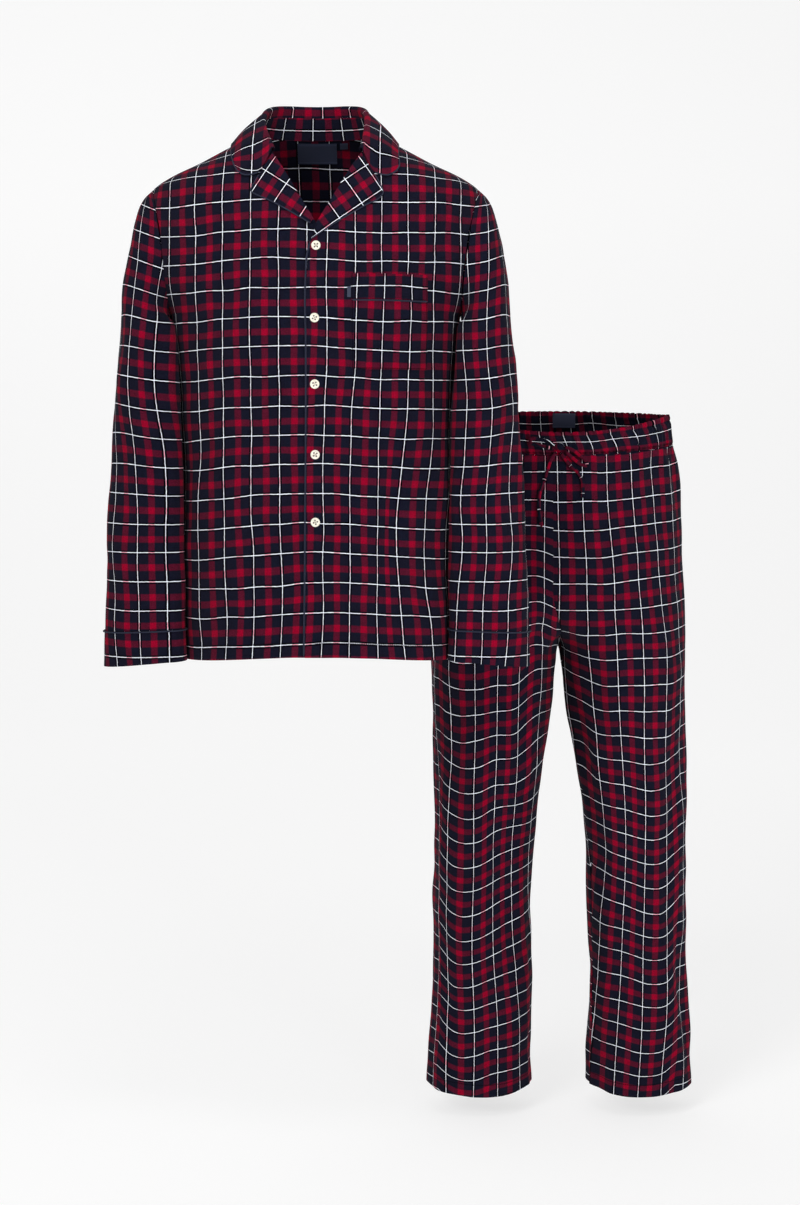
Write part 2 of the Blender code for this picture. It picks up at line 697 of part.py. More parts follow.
def make_buttons():
    profile = ((0, 0.0), (0.86, 0.0), (1, 0.35), (0.97, 0.85), (0.82, 1.0), (0.66, 0.72), (0, 0.68))
    turn = np.linspace(0, 2 * math.pi, 16, endpoint=False)
    for number, down in enumerate(BUTTON_DOWNS, 1):
        seat = on_front(np.array([BUTTON_X]), np.array([down * MM]), GAP)[0]
        out = facing_out(shirt_body, front_angle(BUTTON_X, down * MM), down * MM)
        side = unit(np.cross(out, [0, 0, 1]))
        up = np.cross(side, out)
        shape = bmesh.new()
        rings = []
        for radius, height in profile:
            base = seat + out * height * BUTTON_HEIGHT
            if radius == 0:
                rings.append([shape.verts.new(base)])
                continue
            spokes = np.outer(np.cos(turn), side) + np.outer(np.sin(turn), up)
            rings.append([shape.verts.new(base + radius * BUTTON_RADIUS * s) for s in spokes])
        for low, high in zip(rings, rings[1:]):
            for k in range(16):
                following = (k + 1) % 16
                if len(low) == 1:
                    shape.faces.new((low[0], high[k], high[following]))
                elif len(high) == 1:
                    shape.faces.new((low[k], low[following], high[0]))
                else:
                    shape.faces.new((low[k], low[following], high[following], high[k]))
        bmesh.ops.recalc_face_normals(shape, faces=shape.faces)
        mesh = bpy.data.meshes.new(f"button_{number}")
        shape.to_mesh(mesh)
        shape.free()
        mesh.shade_smooth()
        mesh.set_sharp_from_angle(angle=math.radians(40))
        new_object(f"button_{number}", mesh, "button")


def make_front_piping():
    turn = np.linspace(156, 200, 8)
    down = np.concatenate([turn, np.linspace(235, 723, 12)]) * MM
    x = inner_edge(1, down) - GAP - PIPING_RADIUS
    tube("front_piping", on_front(x, down, 0.0), PIPING_RADIUS, "piping")


def make_labels():
    for name, left, right, top, bottom, columns in (
            ("neck_label", -29, 27, 2, 28, 7), ("size_tab", 32, 43, 2, 9, 3)):
        x, down = np.meshgrid(np.linspace(left, right, columns) * MM,
                              np.linspace(top, bottom, 3) * MM)
        angle = angle_at(x, body_half(down, read(TORSO, "back", down)))
        wall(name, shirt_body, angle[:, ::-1], down, TRIM, -CLOTH - LABEL_INSET, "label")


# ---------------------------------------------------------------- trousers

def centre_angle(drop, face):
    """The angle of the right-hand ring at the centre seam; it stops at the inseam."""
    outer = read(LEGS, "outer", drop)
    inner = read(LEGS, "inner", drop)
    middle = (outer + inner) / 2
    return face * angle_at(GAP / 2 - middle, (outer - inner) / 2)


def make_trousers():
    above = np.array([CASING + 3 * GAP, 62 * MM, 82 * MM, 110 * MM, 145 * MM, 190 * MM, 236 * MM])
    fork = np.array([262, 290, 315, 335, 346]) * MM
    below = np.array([362, 400, 460, 530, 610, 690, 770, 850, 925, 990, 1052]) * MM
    rows = np.concatenate([above, fork, below])
    nudge = math.radians(0.12)
    for side, name in ((1, "left"), (-1, "right")):
        turn = np.radians(np.interp(rows, TWIST["drop"] * MM, TWIST[name])) * side

        def leg(angle, drop):
            return trouser_ring(side, angle, drop)

        for face, panel in ((-1, "front"), (1, "back")):
            centre = centre_angle(rows, face) - face * nudge
            outseam = face * nudge
            u, v = grid(rows, 10, outseam + turn, centre + turn)
            out = facing_out(leg, u, v)
            points = leg(u, v)
            away = points - np.array([WAIST_X, WAIST_Y, 0])
            middle = (read(LEGS, "outer", v) + read(LEGS, "inner", v)) / 2 * side
            away[..., 0] -= middle
            away[..., 2] = 0
            sign = np.sign((away * out).sum(-1).mean())
            solid(f"trouser_{panel}_{name}", points, points - CLOTH * sign * out)
    around = np.linspace(0, 2 * math.pi, 4 * GATHERS, endpoint=False)
    u, v = np.meshgrid(around, np.array([0, CASING]))
    wall("waistband", casing_ring, u, v, CASING_WALL, closed=True)


def on_trousers(x, z, lift):
    """A point on the front of the trousers' hip at x from their middle and height z."""
    x = np.asarray(x, float)
    drop = WAIST_Z - z
    for _ in range(12):
        angle = -angle_at(x, read(LEGS, "outer", drop))
        drop = drop + trouser_ring(1, angle, drop)[..., 2] - z
    point = trouser_ring(1, angle, drop)
    bare = point - np.array([WAIST_X, WAIST_Y, 0])
    return point + np.reshape(lift, (-1, 1)) * unit(bare * np.array([0.3, 1, 0]))


# Routes of the drawstring, from the knot outward: x from the trousers' middle, height
# below the origin, and how far the cord's middle stands off the cloth.
KNOT = (-7, 431)
ROUTES = {
    "drawstring_loop_right": [(-14, 429, 7), (-25, 423.5, 7.5), (-39, 420, 7), (-49, 420, 6.5),
                              (-50, 424.5, 5.5), (-40, 428.5, 5.2), (-27, 431.5, 5.4), (-15, 434, 6)],
    "drawstring_loop_left": [(-0.6, 431, 7), (11, 435.5, 8), (23, 444.5, 7.5), (32, 453.5, 6.5),
                             (32.5, 459, 5.6), (26, 458, 5.2), (13, 448.5, 5.4), (2, 438.5, 6)],
    "drawstring_end_right": [(-11, 439, 5.4), (-18, 447, 5.2), (-24, 462, 5), (-31, 483, 4.6),
                             (-37, 501, 4.4), (-38, 520, 4.4), (-36, 538, 4.4), (-34, 549, 4.4)],
    "drawstring_end_left": [(-5, 440.5, 4.6), (1, 449, 4.4), (10, 460.5, 4.4), (20, 469.5, 4.6),
                            (25.5, 480, 4.6), (26.5, 493, 4.6), (26, 506, 4.4)],
}


def make_drawstring():
    base = on_trousers(np.array([KNOT[0] * MM]), np.array([-KNOT[1] * MM]), KNOT_LIFT)[0]
    shape = bmesh.new()
    bmesh.ops.create_icosphere(shape, subdivisions=2, radius=1)
    for vert in shape.verts:
        vert.co = [part * radius + middle
                   for part, radius, middle in zip(vert.co, KNOT_RADII, base)]
    mesh = bpy.data.meshes.new("drawstring_knot")
    shape.to_mesh(mesh)
    shape.free()
    mesh.shade_smooth()
    new_object("drawstring_knot", mesh, "flannel")
    for name, route in ROUTES.items():
        x, below, lift = np.array(route).T * MM
        places = on_trousers(x, -below, 0 * lift)
        places[:, 1] -= lift
        tube(name, through(places, 14), CORD_RADIUS, "flannel", resolution=2)


def make_waist_label():
    left, right, top, bottom = -2, 34, 3, 27
    x, drop = np.meshgrid(np.linspace(left, right, 5) * MM, np.linspace(top, bottom, 2) * MM)
    angle = angle_at(x, read(LEGS, "outer", drop))

    def hip(angle, drop):
        return trouser_ring(1, angle, drop)

    wall("waist_label", hip, angle[:, ::-1], drop, TRIM, -WAIST_LABEL_INSET, "label")


# ---------------------------------------------------------------- build

def clear_scene():
    for old in list(bpy.data.objects):
        bpy.data.objects.remove(old, do_unlink=True)


def finish_material(name):
    made = bpy.data.materials.new(name)
    made.use_nodes = True
    shader = made.node_tree.nodes["Principled BSDF"]
    shader.inputs["Base Color"].default_value = (*COLOURS[name], 1)
    shader.inputs["Roughness"].default_value = ROUGHNESS[name]
    shader.inputs["Metallic"].default_value = 0.0
    return made


clear_scene()
finishes = {name: finish_material(name) for name in COLOURS}
make_body()
make_sleeves()
make_collar()
make_lapels()
make_pocket()
make_buttons()
make_front_piping()
make_labels()
make_trousers()
make_waist_label()
make_drawstring()
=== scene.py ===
# Checked flannel pyjamas: a shirt with a notched collar, and drawstring trousers, filled out
# as worn and hollow. Metres, +Z up, fronts towards -Y, the wearer's left at +X.
# Tables are in millimetres: "down" is below the neck's origin, "drop" below the waist's sides.
import math

import bpy
import numpy as np
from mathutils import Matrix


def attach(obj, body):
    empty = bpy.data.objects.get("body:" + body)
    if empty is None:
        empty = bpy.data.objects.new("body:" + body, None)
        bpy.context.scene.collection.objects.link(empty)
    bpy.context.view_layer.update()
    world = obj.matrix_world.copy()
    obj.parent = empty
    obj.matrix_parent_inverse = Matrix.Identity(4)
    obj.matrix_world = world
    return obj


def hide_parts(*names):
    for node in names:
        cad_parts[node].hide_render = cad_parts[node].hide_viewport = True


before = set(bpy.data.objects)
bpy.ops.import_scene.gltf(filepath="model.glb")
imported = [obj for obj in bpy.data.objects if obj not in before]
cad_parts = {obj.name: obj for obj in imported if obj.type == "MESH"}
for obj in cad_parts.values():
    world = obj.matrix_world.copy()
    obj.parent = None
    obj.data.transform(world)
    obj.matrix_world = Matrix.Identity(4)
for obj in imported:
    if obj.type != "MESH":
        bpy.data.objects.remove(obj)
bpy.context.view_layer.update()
mm = 0.001
roundness = 2.1  # of every level ring: 2 is an ellipse, and more is squarer
sharpAngle = math.radians(50)  # faces of a wall that meet at more than this are shaded apart
scene = bpy.context.scene
scene.view_settings.view_transform = "Standard"

# a long lens in front of the part, turned a little down
view = {"place": (0.1162, -2.8, -0.392), "pitch": 5.233, "lens": 59.51}
cameraObject = bpy.data.objects.new("viewCamera", bpy.data.cameras.new("viewCamera"))
cameraObject.data.lens = view["lens"]
cameraObject.location = view["place"]
cameraObject.rotation_euler = (math.radians(90 - view["pitch"]), 0, 0)
scene.collection.objects.link(cameraObject)
scene.camera = cameraObject


def columns(names, rows, scale=mm):
    # named columns from rows of numbers; the first column rises and is looked up
    return dict(zip(names.split(), np.array(rows, float).T * scale))


def cubicAt(keys, values, where, pick):
    # a cubic through values at rising keys, level past both ends: in each span the values and
    # slopes at its two ends are weighted by cubics in t. pick takes entries by number
    slopes = np.gradient(values, keys, axis=0)
    x = np.clip(where, keys[0], keys[-1])
    i = np.clip(np.searchsorted(keys, x, side="right") - 1, 0, len(keys) - 2)
    span = keys[i + 1] - keys[i]
    t = (x - keys[i]) / span
    start = pick(values, i) * (1 + 2 * t) * (1 - t) ** 2 + pick(slopes, i) * span * t * (1 - t) ** 2
    end = pick(values, i + 1) * t * t * (3 - 2 * t) + pick(slopes, i + 1) * span * t * t * (t - 1)
    return start + end


def look(sections, name, where):
    # a table's column, read at places along its first column
    return cubicAt(sections[next(iter(sections))], sections[name], where, np.take)


def lookAll(sections, where):
    # every column but the first, by name
    return {name: look(sections, name, where) for name in list(sections)[1:]}


def lookAcross(values, keys, where):
    # the same cubic between whole grids of values, one grid for each key
    def pick(grids, k):
        return np.take_along_axis(grids, k[None], 0)[0]

    return cubicAt(keys, values, where, pick)


def ease(t):
    # 0 to 1 and level at both: three t squared less two t cubed
    t = np.clip(t, 0, 1)
    return t * t * (3 - 2 * t)


def bell(t):
    # 1 at the middle, falling as e to the minus t squared
    return np.exp(-np.square(t))


def unit(vectors):
    # each vector over its own length
    return vectors / np.linalg.norm(vectors, axis=-1, keepdims=True)


def ripples(a, b, seed, wave, stretch=1.0, count=16):
    # a sum of sine waves over (a, b) with random directions and phases, about -1 to 1;
    # stretch above 1 makes them longer along b
    rng = np.random.default_rng(seed)
    turns = rng.uniform(0, math.pi, count)
    shifts = rng.uniform(0, 2 * math.pi, count)
    sizes = rng.uniform(0.7, 1.4, count)
    total = 0
    for turn, shift, size in zip(turns, shifts, sizes):
        pitch = 2 * math.pi / (wave * size)
        total = total + np.sin(pitch * (a * math.cos(turn) + b * math.sin(turn) / stretch) + shift)
    return total / math.sqrt(count)


def foldSum(folds, across, along, scale=mm):
    # soft ridges and troughs: a bell across each fold's line that fades at both ends
    total = np.zeros(np.broadcast(across, along).shape)
    for at, where, halfLength, halfWidth, out, slope in folds:
        off = (across - at - slope * (along - where)) / halfWidth
        total = total + out * scale * bell(off) * bell((along - where) / halfLength)
    return total


def facingOut(surface, a, b, step=1e-4):
    # unit normals of a surface whose a runs anticlockwise from above and b runs down
    da = surface(a + step, b) - surface(a - step, b)
    db = surface(a, b + step) - surface(a, b - step)
    return unit(np.cross(db, da))


def runningLength(points, axis, weights=(1, 1, 1)):
    # distance along a grid's rows or columns, each coordinate counted by its weight
    steps = np.diff(points, axis=axis) * np.array(weights)
    lengths = np.linalg.norm(steps, axis=-1)
    zero = np.zeros_like(np.take(lengths, [0], axis=axis))
    return np.concatenate([zero, np.cumsum(lengths, axis=axis)], axis=axis)


def closeRing(grid):
    # a grid with its first column again after its last
    return np.concatenate([grid, grid[:, :1]], axis=1)


def gridFaces(index):
    # the four corners of each cell of a grid of numbers
    corners = (index[:-1, :-1], index[1:, :-1], index[1:, 1:], index[:-1, 1:])
    return np.stack(corners, -1).reshape(-1, 4)


def nodeName(start, title):
    # a solid's name: "shirt" and "FrontLeft" give "shirt_front_left"
    return start + "".join("_" + c.lower() if c.isupper() else c for c in title)


def addMesh(name, points, faces, material):
    # a smooth object with one material; each face is a list of corners
    mesh = bpy.data.meshes.new(name)
    mesh.from_pydata(points.reshape(-1, 3).tolist(), [], faces)
    mesh.materials.append(material)
    mesh.shade_smooth()
    made = bpy.data.objects.new(name, mesh)
    scene.collection.objects.link(made)
    return made


def addPiece(name, node, points, faces, uvs, slot, material=None):
    # a piece of the part in place of one solid. uvs has a (u, v) for every corner of every
    # face, and no stitching shows where there is no edge map
    made = addMesh(name, points, faces, materials[material or slot])
    layers = made.data.uv_layers
    for layer, values in {"edge": np.zeros((len(made.data.loops), 2)), **uvs}.items():
        layers.new(name=layer).data.foreach_set("uv", values.astype("f").ravel())
    layers.active = layers["cloth"]
    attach(made, "root")
    if node:
        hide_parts(node)
    return made


def declareCloth(piece, outer, closed):
    # the piece's own flat size, from its middle lengths and its area
    grid = closeRing(outer) if closed else outer
    width = float(runningLength(grid, 1)[:, -1].max())
    length = float(runningLength(grid, 0)[-1].max())
    a = grid[1:, 1:] - grid[:-1, :-1]
    b = grid[1:, :-1] - grid[:-1, 1:]
    area = float(np.linalg.norm(np.cross(a, b), axis=-1).sum() / 2)
    leastShare = 0.31  # of the flat rectangle
    area = min(max(area, leastShare * width * length), width * length)
    print(f"{piece.name}: {width * 1000:.0f} x {length * 1000:.0f} mm, {area:.3f} m2")


def clothPiece(name, node, outer, out, uvs, thick, slot="flannel", held=None, restsOn=None, closed=False):
    # a wall from a grid of points to the same points moved in along their normals; a closed
    # one joins its last column to its first, and its UV grids have one column more
    inner = outer - thick * out
    index = np.arange(outer[..., 0].size).reshape(outer.shape[:2])
    if closed:
        index = closeRing(index)
    corner = np.arange(index.size).reshape(index.shape)
    under = index + outer[..., 0].size
    strips = [(index, corner, 1), (under, corner, -1)]
    strips.append((np.stack([under[0], index[0]]), np.stack([corner[0]] * 2), 1))
    strips.append((np.stack([index[-1], under[-1]]), np.stack([corner[-1]] * 2), 1))
    if not closed:
        strips.append((np.stack([under[:, 0], index[:, 0]], 1), np.stack([corner[:, 0]] * 2, 1), 1))
        strips.append((np.stack([index[:, -1], under[:, -1]], 1), np.stack([corner[:, -1]] * 2, 1), 1))
    faces = np.concatenate([gridFaces(a)[:, ::way] for a, b, way in strips])
    places = np.concatenate([gridFaces(b)[:, ::way] for a, b, way in strips])
    across = outer[:, 1:] - outer[:, :-1]
    along = outer[1:] - outer[:-1]
    facing = np.cross(along[:, 1:], across[1:])
    if (facing * (outer - inner)[1:, 1:]).sum() < 0:
        faces = faces[:, ::-1]
        places = places[:, ::-1]
    spread = {layer: grid.reshape(-1, 2)[places] for layer, grid in uvs.items()}
    made = addPiece(name, node, np.stack([outer, inner]), faces.tolist(), spread, slot)
    made.data.set_sharp_from_angle(angle=sharpAngle)
    if held:
        declareCloth(made, outer, closed)


def tubePiece(name, node, path, radius, slot="piping", material=None, around=8, closed=False, flat=1.0,
              repeat=1.0, check=(0, 1), drift=0):
    # a round section carried along a path, with its ends rounded off; flat squashes it towards
    # the path's own Y. UV is the distance along and the turn round it, over a part of the check
    path = np.array(path, float)
    if closed:
        path = np.vstack([path, path[:1]])
        ahead = unit(np.roll(path[:-1], -1, axis=0) - np.roll(path[:-1], 1, axis=0))
        ahead = np.vstack([ahead, ahead[:1]])
    else:
        ahead = unit(np.gradient(path, axis=0))
    side = unit(np.cross(ahead, [0, 1, 0.001]))
    up = np.cross(side, ahead)
    along = runningLength(path, 0)
    size = np.full(len(path), radius)
    if not closed:
        fromEnd = (1 - np.minimum(along, along[-1] - along) / radius).clip(0)
        size = radius * np.sqrt(np.clip(1 - fromEnd ** 2, 0.02, 1))
    turn = np.linspace(0, 2 * math.pi, around + 1)
    spoke = np.cos(turn)[:, None] * side[:, None] + flat * np.sin(turn)[:, None] * up[:, None]
    points = path[:, None] + spoke * size[:, None, None]
    spread = check[0] + (check[1] - check[0]) * turn / (2 * math.pi) + drift * along[:, None] / along[-1]
    uv = np.stack(np.broadcast_arrays(along[:, None] / repeat, spread), -1).reshape(-1, 2)
    rows = len(path) - 1 if closed else len(path)
    index = closeRing(np.arange(rows * around).reshape(rows, around))
    if closed:
        index = np.vstack([index, index[:1]])
    corner = np.arange(len(uv)).reshape(len(path), around + 1)
    points = points[:rows, :around].reshape(-1, 3)
    faces = gridFaces(index).tolist()
    used = gridFaces(corner).ravel()
    if not closed:  # a fan of triangles closes each end
        for ring, way in ((0, 1), (-1, -1)):
            tip = np.full(around, len(points))
            faces += np.stack([tip, index[ring, :-1], index[ring, 1:]], 1)[:, ::way].tolist()
            fan = np.stack([corner[ring, :-1], corner[ring, :-1], corner[ring, 1:]], 1)[:, ::way]
            used = np.append(used, fan)
            points = np.vstack([points, path[ring]])
    return addPiece(name, node, points, faces, {"cloth": uv[used]}, slot, material)


def smoothPath(points, count):
    # evenly spaced points on a smooth curve through the given ones
    points = np.array(points, float)
    along = runningLength(points, 0)
    route = dict(zip(("along", "x", "y", "z"), (along, *points.T)))
    where = np.linspace(0, along[-1], count)
    return np.stack([look(route, axis, where) for axis in ("x", "y", "z")], -1)


class Value:
    # a socket that can stand in an expression; each operator adds a Math node

    def __init__(self, finish, socket):
        self.finish = finish
        self.socket = socket

    def math(self, operation, first, second):
        return self.finish.node("ShaderNodeMath", {"operation": operation}, {0: first, 1: second})

    def __add__(self, other):
        return self.math("ADD", self, other)

    def __sub__(self, other):
        return self.math("SUBTRACT", self, other)

    def __rsub__(self, other):
        return self.math("SUBTRACT", other, self)

    def __mul__(self, other):
        return self.math("MULTIPLY", self, other)

    def __abs__(self):
        return self.math("ABSOLUTE", self, 0.0)

    __radd__ = __add__
    __rmul__ = __mul__


class Finish:
    # a material whose nodes are added by name

    def __init__(self, name, **fixed):
        self.material = bpy.data.materials.new(name)
        self.material.use_nodes = True
        self.tree = self.material.node_tree
        self.shader = self.tree.nodes["Principled BSDF"]
        for socket, value in fixed.items():
            self.shader.inputs[socket.replace("_", " ")].default_value = value

    def node(self, kind, settings=None, sockets=None, output=0):
        # any node by its type, its settings and the values or links of its sockets
        made = self.tree.nodes.new(kind)
        for key, value in (settings or {}).items():
            setattr(made, key, value)
        for key, value in (sockets or {}).items():
            self.join(value, made.inputs[key])
        return Value(self, made.outputs[output])

    def join(self, value, socket):
        # a link from a Value, or else a fixed value
        if isinstance(value, Value):
            self.tree.links.new(value.socket, socket)
        else:
            socket.default_value = value

    def feed(self, **sockets):
        for socket, value in sockets.items():
            self.join(value, self.shader.inputs[socket.replace("_", " ")])

    def mapped(self, layer="cloth"):
        return self.node("ShaderNodeUVMap", {"uv_map": layer})

    def place(self):
        # the object's own coordinates, in metres
        return self.node("ShaderNodeTexCoord", output=3)

    def mix(self, share, first, second):
        sockets = {0: share, 6: first, 7: second}
        return self.node("ShaderNodeMix", {"data_type": "RGBA"}, sockets, 2)

    def scaled(self, colour, amount):
        return self.node("ShaderNodeVectorMath", {"operation": "SCALE"}, {0: colour, 3: amount})

    def noise(self, coordinate, scale, detail=2.0, rough=0.5):
        sockets = {"Vector": coordinate, "Scale": scale, "Detail": detail, "Roughness": rough}
        return self.node("ShaderNodeTexNoise", None, sockets)

    def fraction(self, value):
        return self.node("ShaderNodeMath", {"operation": "FRACT"}, {0: value})

    def saw(self, value):
        # how far a value is from the middle of its unit, 0 to a half
        return abs(self.fraction(value) - 0.5)

    def step(self, value, low, high, start=0.0, end=1.0):
        # a smooth step from start at low to end at high
        sockets = {0: value, 1: low, 2: high, 3: start, 4: end}
        return self.node("ShaderNodeMapRange", {"interpolation_type": "SMOOTHSTEP"}, sockets)

    def stripe(self, value, middle, half, soft):
        # 1 within half of a stripe's middle and 0 past its soft edge, once in every unit
        away = self.saw(value + (1.5 - middle))
        return self.step(away, half - soft / 2, half + soft / 2, 1.0, 0.0)

    def parts(self, vector):
        split = self.tree.nodes.new("ShaderNodeSeparateXYZ")
        self.join(vector, split.inputs[0])
        return [Value(self, socket) for socket in split.outputs]

    def bump(self, height, distance, strength=1.0, normal=None):
        # height is laid over another normal where one is given
        sockets = {"Height": height, "Distance": distance, "Strength": strength}
        if normal:
            sockets["Normal"] = normal
        return self.node("ShaderNodeBump", None, sockets)


def shown(colour):
    # a display colour from 0 to 255 as linear light
    share = [c / 255 for c in colour]
    linear = [c / 12.92 if c < 0.04045 else ((c + 0.055) / 1.055) ** 2.4 for c in share]
    return (*linear, 1)


# u and v count the check's repeats. Half widths and softness are shares of a repeat
flannel = {
    "ground": (16, 17, 34), "warmGround": (18, 15, 31), "greenGround": (8, 15, 23),
    "red": (134, 0, 33), "edge": (1, 1, 6), "white": (240, 244, 255), "pink": (255, 120, 146),
    "redOver": 0.26, "redMiddle": 0.525, "redHalf": 0.112, "redSoft": 0.045,
    "lineHalf": 0.0092, "rowHalf": 0.0116, "lineSoft": 0.011, "edgeHalf": 0.07, "edgeSoft": 0.03,
    "greenShare": 0.3, "pinkShare": 0.8, "wobble": 0.022, "twillPitch": 46.0, "fuzz": 1.0, "cloud": 0.5,
    "stitches": 330.0,
}


def makeFlannel(name):
    # brushed check: red bands, dark edges and pale threads, each a stripe of u and one of v
    f = flannel
    cloth = Finish(name, Roughness=0.93, Sheen_Weight=0.02, Sheen_Roughness=0.6,
                   Sheen_Tint=(0.8, 0.75, 0.85, 1), Specular_IOR_Level=0.04)
    uv = cloth.mapped()
    soft = cloth.noise(uv, 1.7)
    u, v = cloth.parts(uv)[:2]
    u = u + (cloth.noise(uv, 9.0, 1.0) - 0.5) * f["wobble"]
    v = v + (cloth.noise(uv, 8.0, 1.0) - 0.5) * f["wobble"]
    # the twill's slanting ribs: each shows the warp, and the gap between shows the weft
    rib = cloth.step(cloth.saw((u + v) * f["twillPitch"]), 0.1, 0.4)
    redAcross, redDown = [cloth.stripe(way, f["redMiddle"], f["redHalf"], f["redSoft"]) for way in (u, v)]
    share = (redAcross + redDown) * f["redOver"] + redAcross * redDown * (1 - 2 * f["redOver"])
    share = share * (1 + (rib - 0.5) * 0.3)
    ground = cloth.mix(cloth.step(soft, 0.35, 0.65), shown(f["ground"]), shown(f["warmGround"]))
    ground = cloth.mix((1 - redAcross) * (1 - redDown) * f["greenShare"], ground, shown(f["greenGround"]))
    colour = cloth.mix(share, ground, shown(f["red"]))
    darkAcross, darkDown = [cloth.stripe(way, 0.0, f["edgeHalf"], f["edgeSoft"]) for way in (u, v)]
    colour = cloth.mix(darkAcross + darkDown, colour, shown(f["edge"]))
    whiteAcross = cloth.stripe(u, 0.0, f["lineHalf"], f["lineSoft"])
    whiteDown = cloth.stripe(v, 0.0, f["rowHalf"], f["lineSoft"])
    lines = cloth.node("ShaderNodeMath", {"operation": "MAXIMUM"}, {0: whiteAcross, 1: whiteDown})
    pinkness = (redAcross * whiteDown + redDown * whiteAcross) * f["pinkShare"]
    pale = cloth.mix(pinkness, shown(f["white"]), shown(f["pink"]))
    # the pale threads come and go where the weft covers them
    thread = cloth.step(cloth.noise(uv, 30.0, 2.0, 0.6), 0.3, 0.6, 0.82, 1.0)
    crossing = whiteAcross * whiteDown
    colour = cloth.mix(lines * (thread + crossing * (1 - thread)), colour, pale)
    # brushed nap: light and dark flecks of threads, and a slow change
    nap = cloth.noise(uv, 22.0, 4.0, 0.75)
    cloud = cloth.noise(uv, 5.0, 2.0, 0.6)
    light = (nap - 0.5) * f["fuzz"] * 2 * (1 - lines * 0.6) + (soft - 0.5) * 0.2 + (rib - 0.5) * 0.12
    light = light + (cloud - 0.5) * f["cloud"] * (1 - lines * 0.7)
    colour = cloth.scaled(colour, light + 1.0)
    # rows of dark stitching lie where the edge map's first number is 1; on the waistband and along the
    # pocket's edges these dark rows also paint shade
    edge, along = cloth.parts(cloth.mapped("edge"))[:2]
    seam = cloth.step(abs(edge - 1), 0.0004, 0.0011, 1.0, 0.0)
    stitch = cloth.step(cloth.saw(along * f["stitches"]), 0.28, 0.36, 1.0, 0.0)
    colour = cloth.mix(seam * (0.35 + stitch * 0.4), colour, shown(f["edge"]))
    normal = cloth.bump(rib * 0.3 + nap * 0.7, 0.0003, 0.6)
    normal = cloth.bump(cloth.noise(cloth.place(), 260.0) - seam * (2 - stitch), 0.0004, 0.3, normal)
    cloth.feed(Base_Color=colour, Roughness=0.86 + nap * 0.12, Normal=normal)
    return cloth.material


trims = {"piping": (42, 47, 68), "pipingDark": (20, 22, 34), "label": (28, 36, 62), "labelEdge": (60, 68, 96),
         "button": (226, 218, 200), "buttonPale": (243, 238, 226), "hole": (24, 20, 20),
         "thread": (206, 198, 184), "threadDark": (150, 142, 128)}


def makePiping(name):
    # satin-covered cord: fine slanting threads along it
    trim = Finish(name, Roughness=0.75, Sheen_Weight=0.04, Specular_IOR_Level=0.15)
    u, v = trim.parts(trim.mapped())[:2]
    colour = trim.mix(trim.noise(trim.place(), 900.0), shown(trims["piping"]), shown(trims["pipingDark"]))
    trim.feed(Base_Color=colour, Normal=trim.bump(trim.saw(u * 1400.0 + v * 6.0), 0.0002, 0.5))
    return trim.material


def makeLabel(name):
    # close woven tape, plain, with a paler row of threads inside its edges
    tape = Finish(name, Roughness=0.62, Sheen_Weight=0.08)
    u, v = tape.parts(tape.mapped())[:2]
    weave = tape.saw(u * 90.0) + tape.saw(v * 60.0)
    rim = tape.stripe(v, 0.08, 0.015, 0.01) + tape.stripe(v, 0.92, 0.015, 0.01)
    colour = tape.mix(rim * 0.55, shown(trims["label"]), shown(trims["labelEdge"]))
    tape.feed(Base_Color=tape.scaled(colour, 0.82 + weave * 0.36), Normal=tape.bump(weave, 0.00015, 0.5))
    return tape.material


def makeButton(name):
    # pale resin with a faint cloud and a polished face, and painted shade down its holes
    resin = Finish(name, Roughness=0.3, Coat_Weight=0.3, Coat_Roughness=0.15)
    cloud = resin.noise(resin.place(), 320.0, 3.0)
    colour = resin.mix(cloud, shown(trims["button"]), shown(trims["buttonPale"]))
    away = resin.parts(resin.mapped())[0]
    # painted shade in the holes: dark within three quarters of a hole's radius of its middle, fading out to
    # its rim
    colour = resin.mix(resin.step(away, 0.75, 1.1, 1.0, 0.0), colour, shown(trims["hole"]))
    resin.feed(Base_Color=colour, Roughness=0.24 + cloud * 0.16)
    return resin.material


def makeThread(name):
    # matt cotton with flecks of a darker thread
    cotton = Finish(name, Roughness=0.8)
    fleck = cotton.noise(cotton.place(), 1500.0)
    cotton.feed(Base_Color=cotton.mix(fleck, shown(trims["thread"]), shown(trims["threadDark"])))
    return cotton.material


materials = {
    "flannel": makeFlannel("brushedFlannel"), "piping": makePiping("darkPiping"),
    "label": makeLabel("wovenTape"), "button": makeButton("paleResin"), "thread": makeThread("buttonThread"),
}
print("materials made")

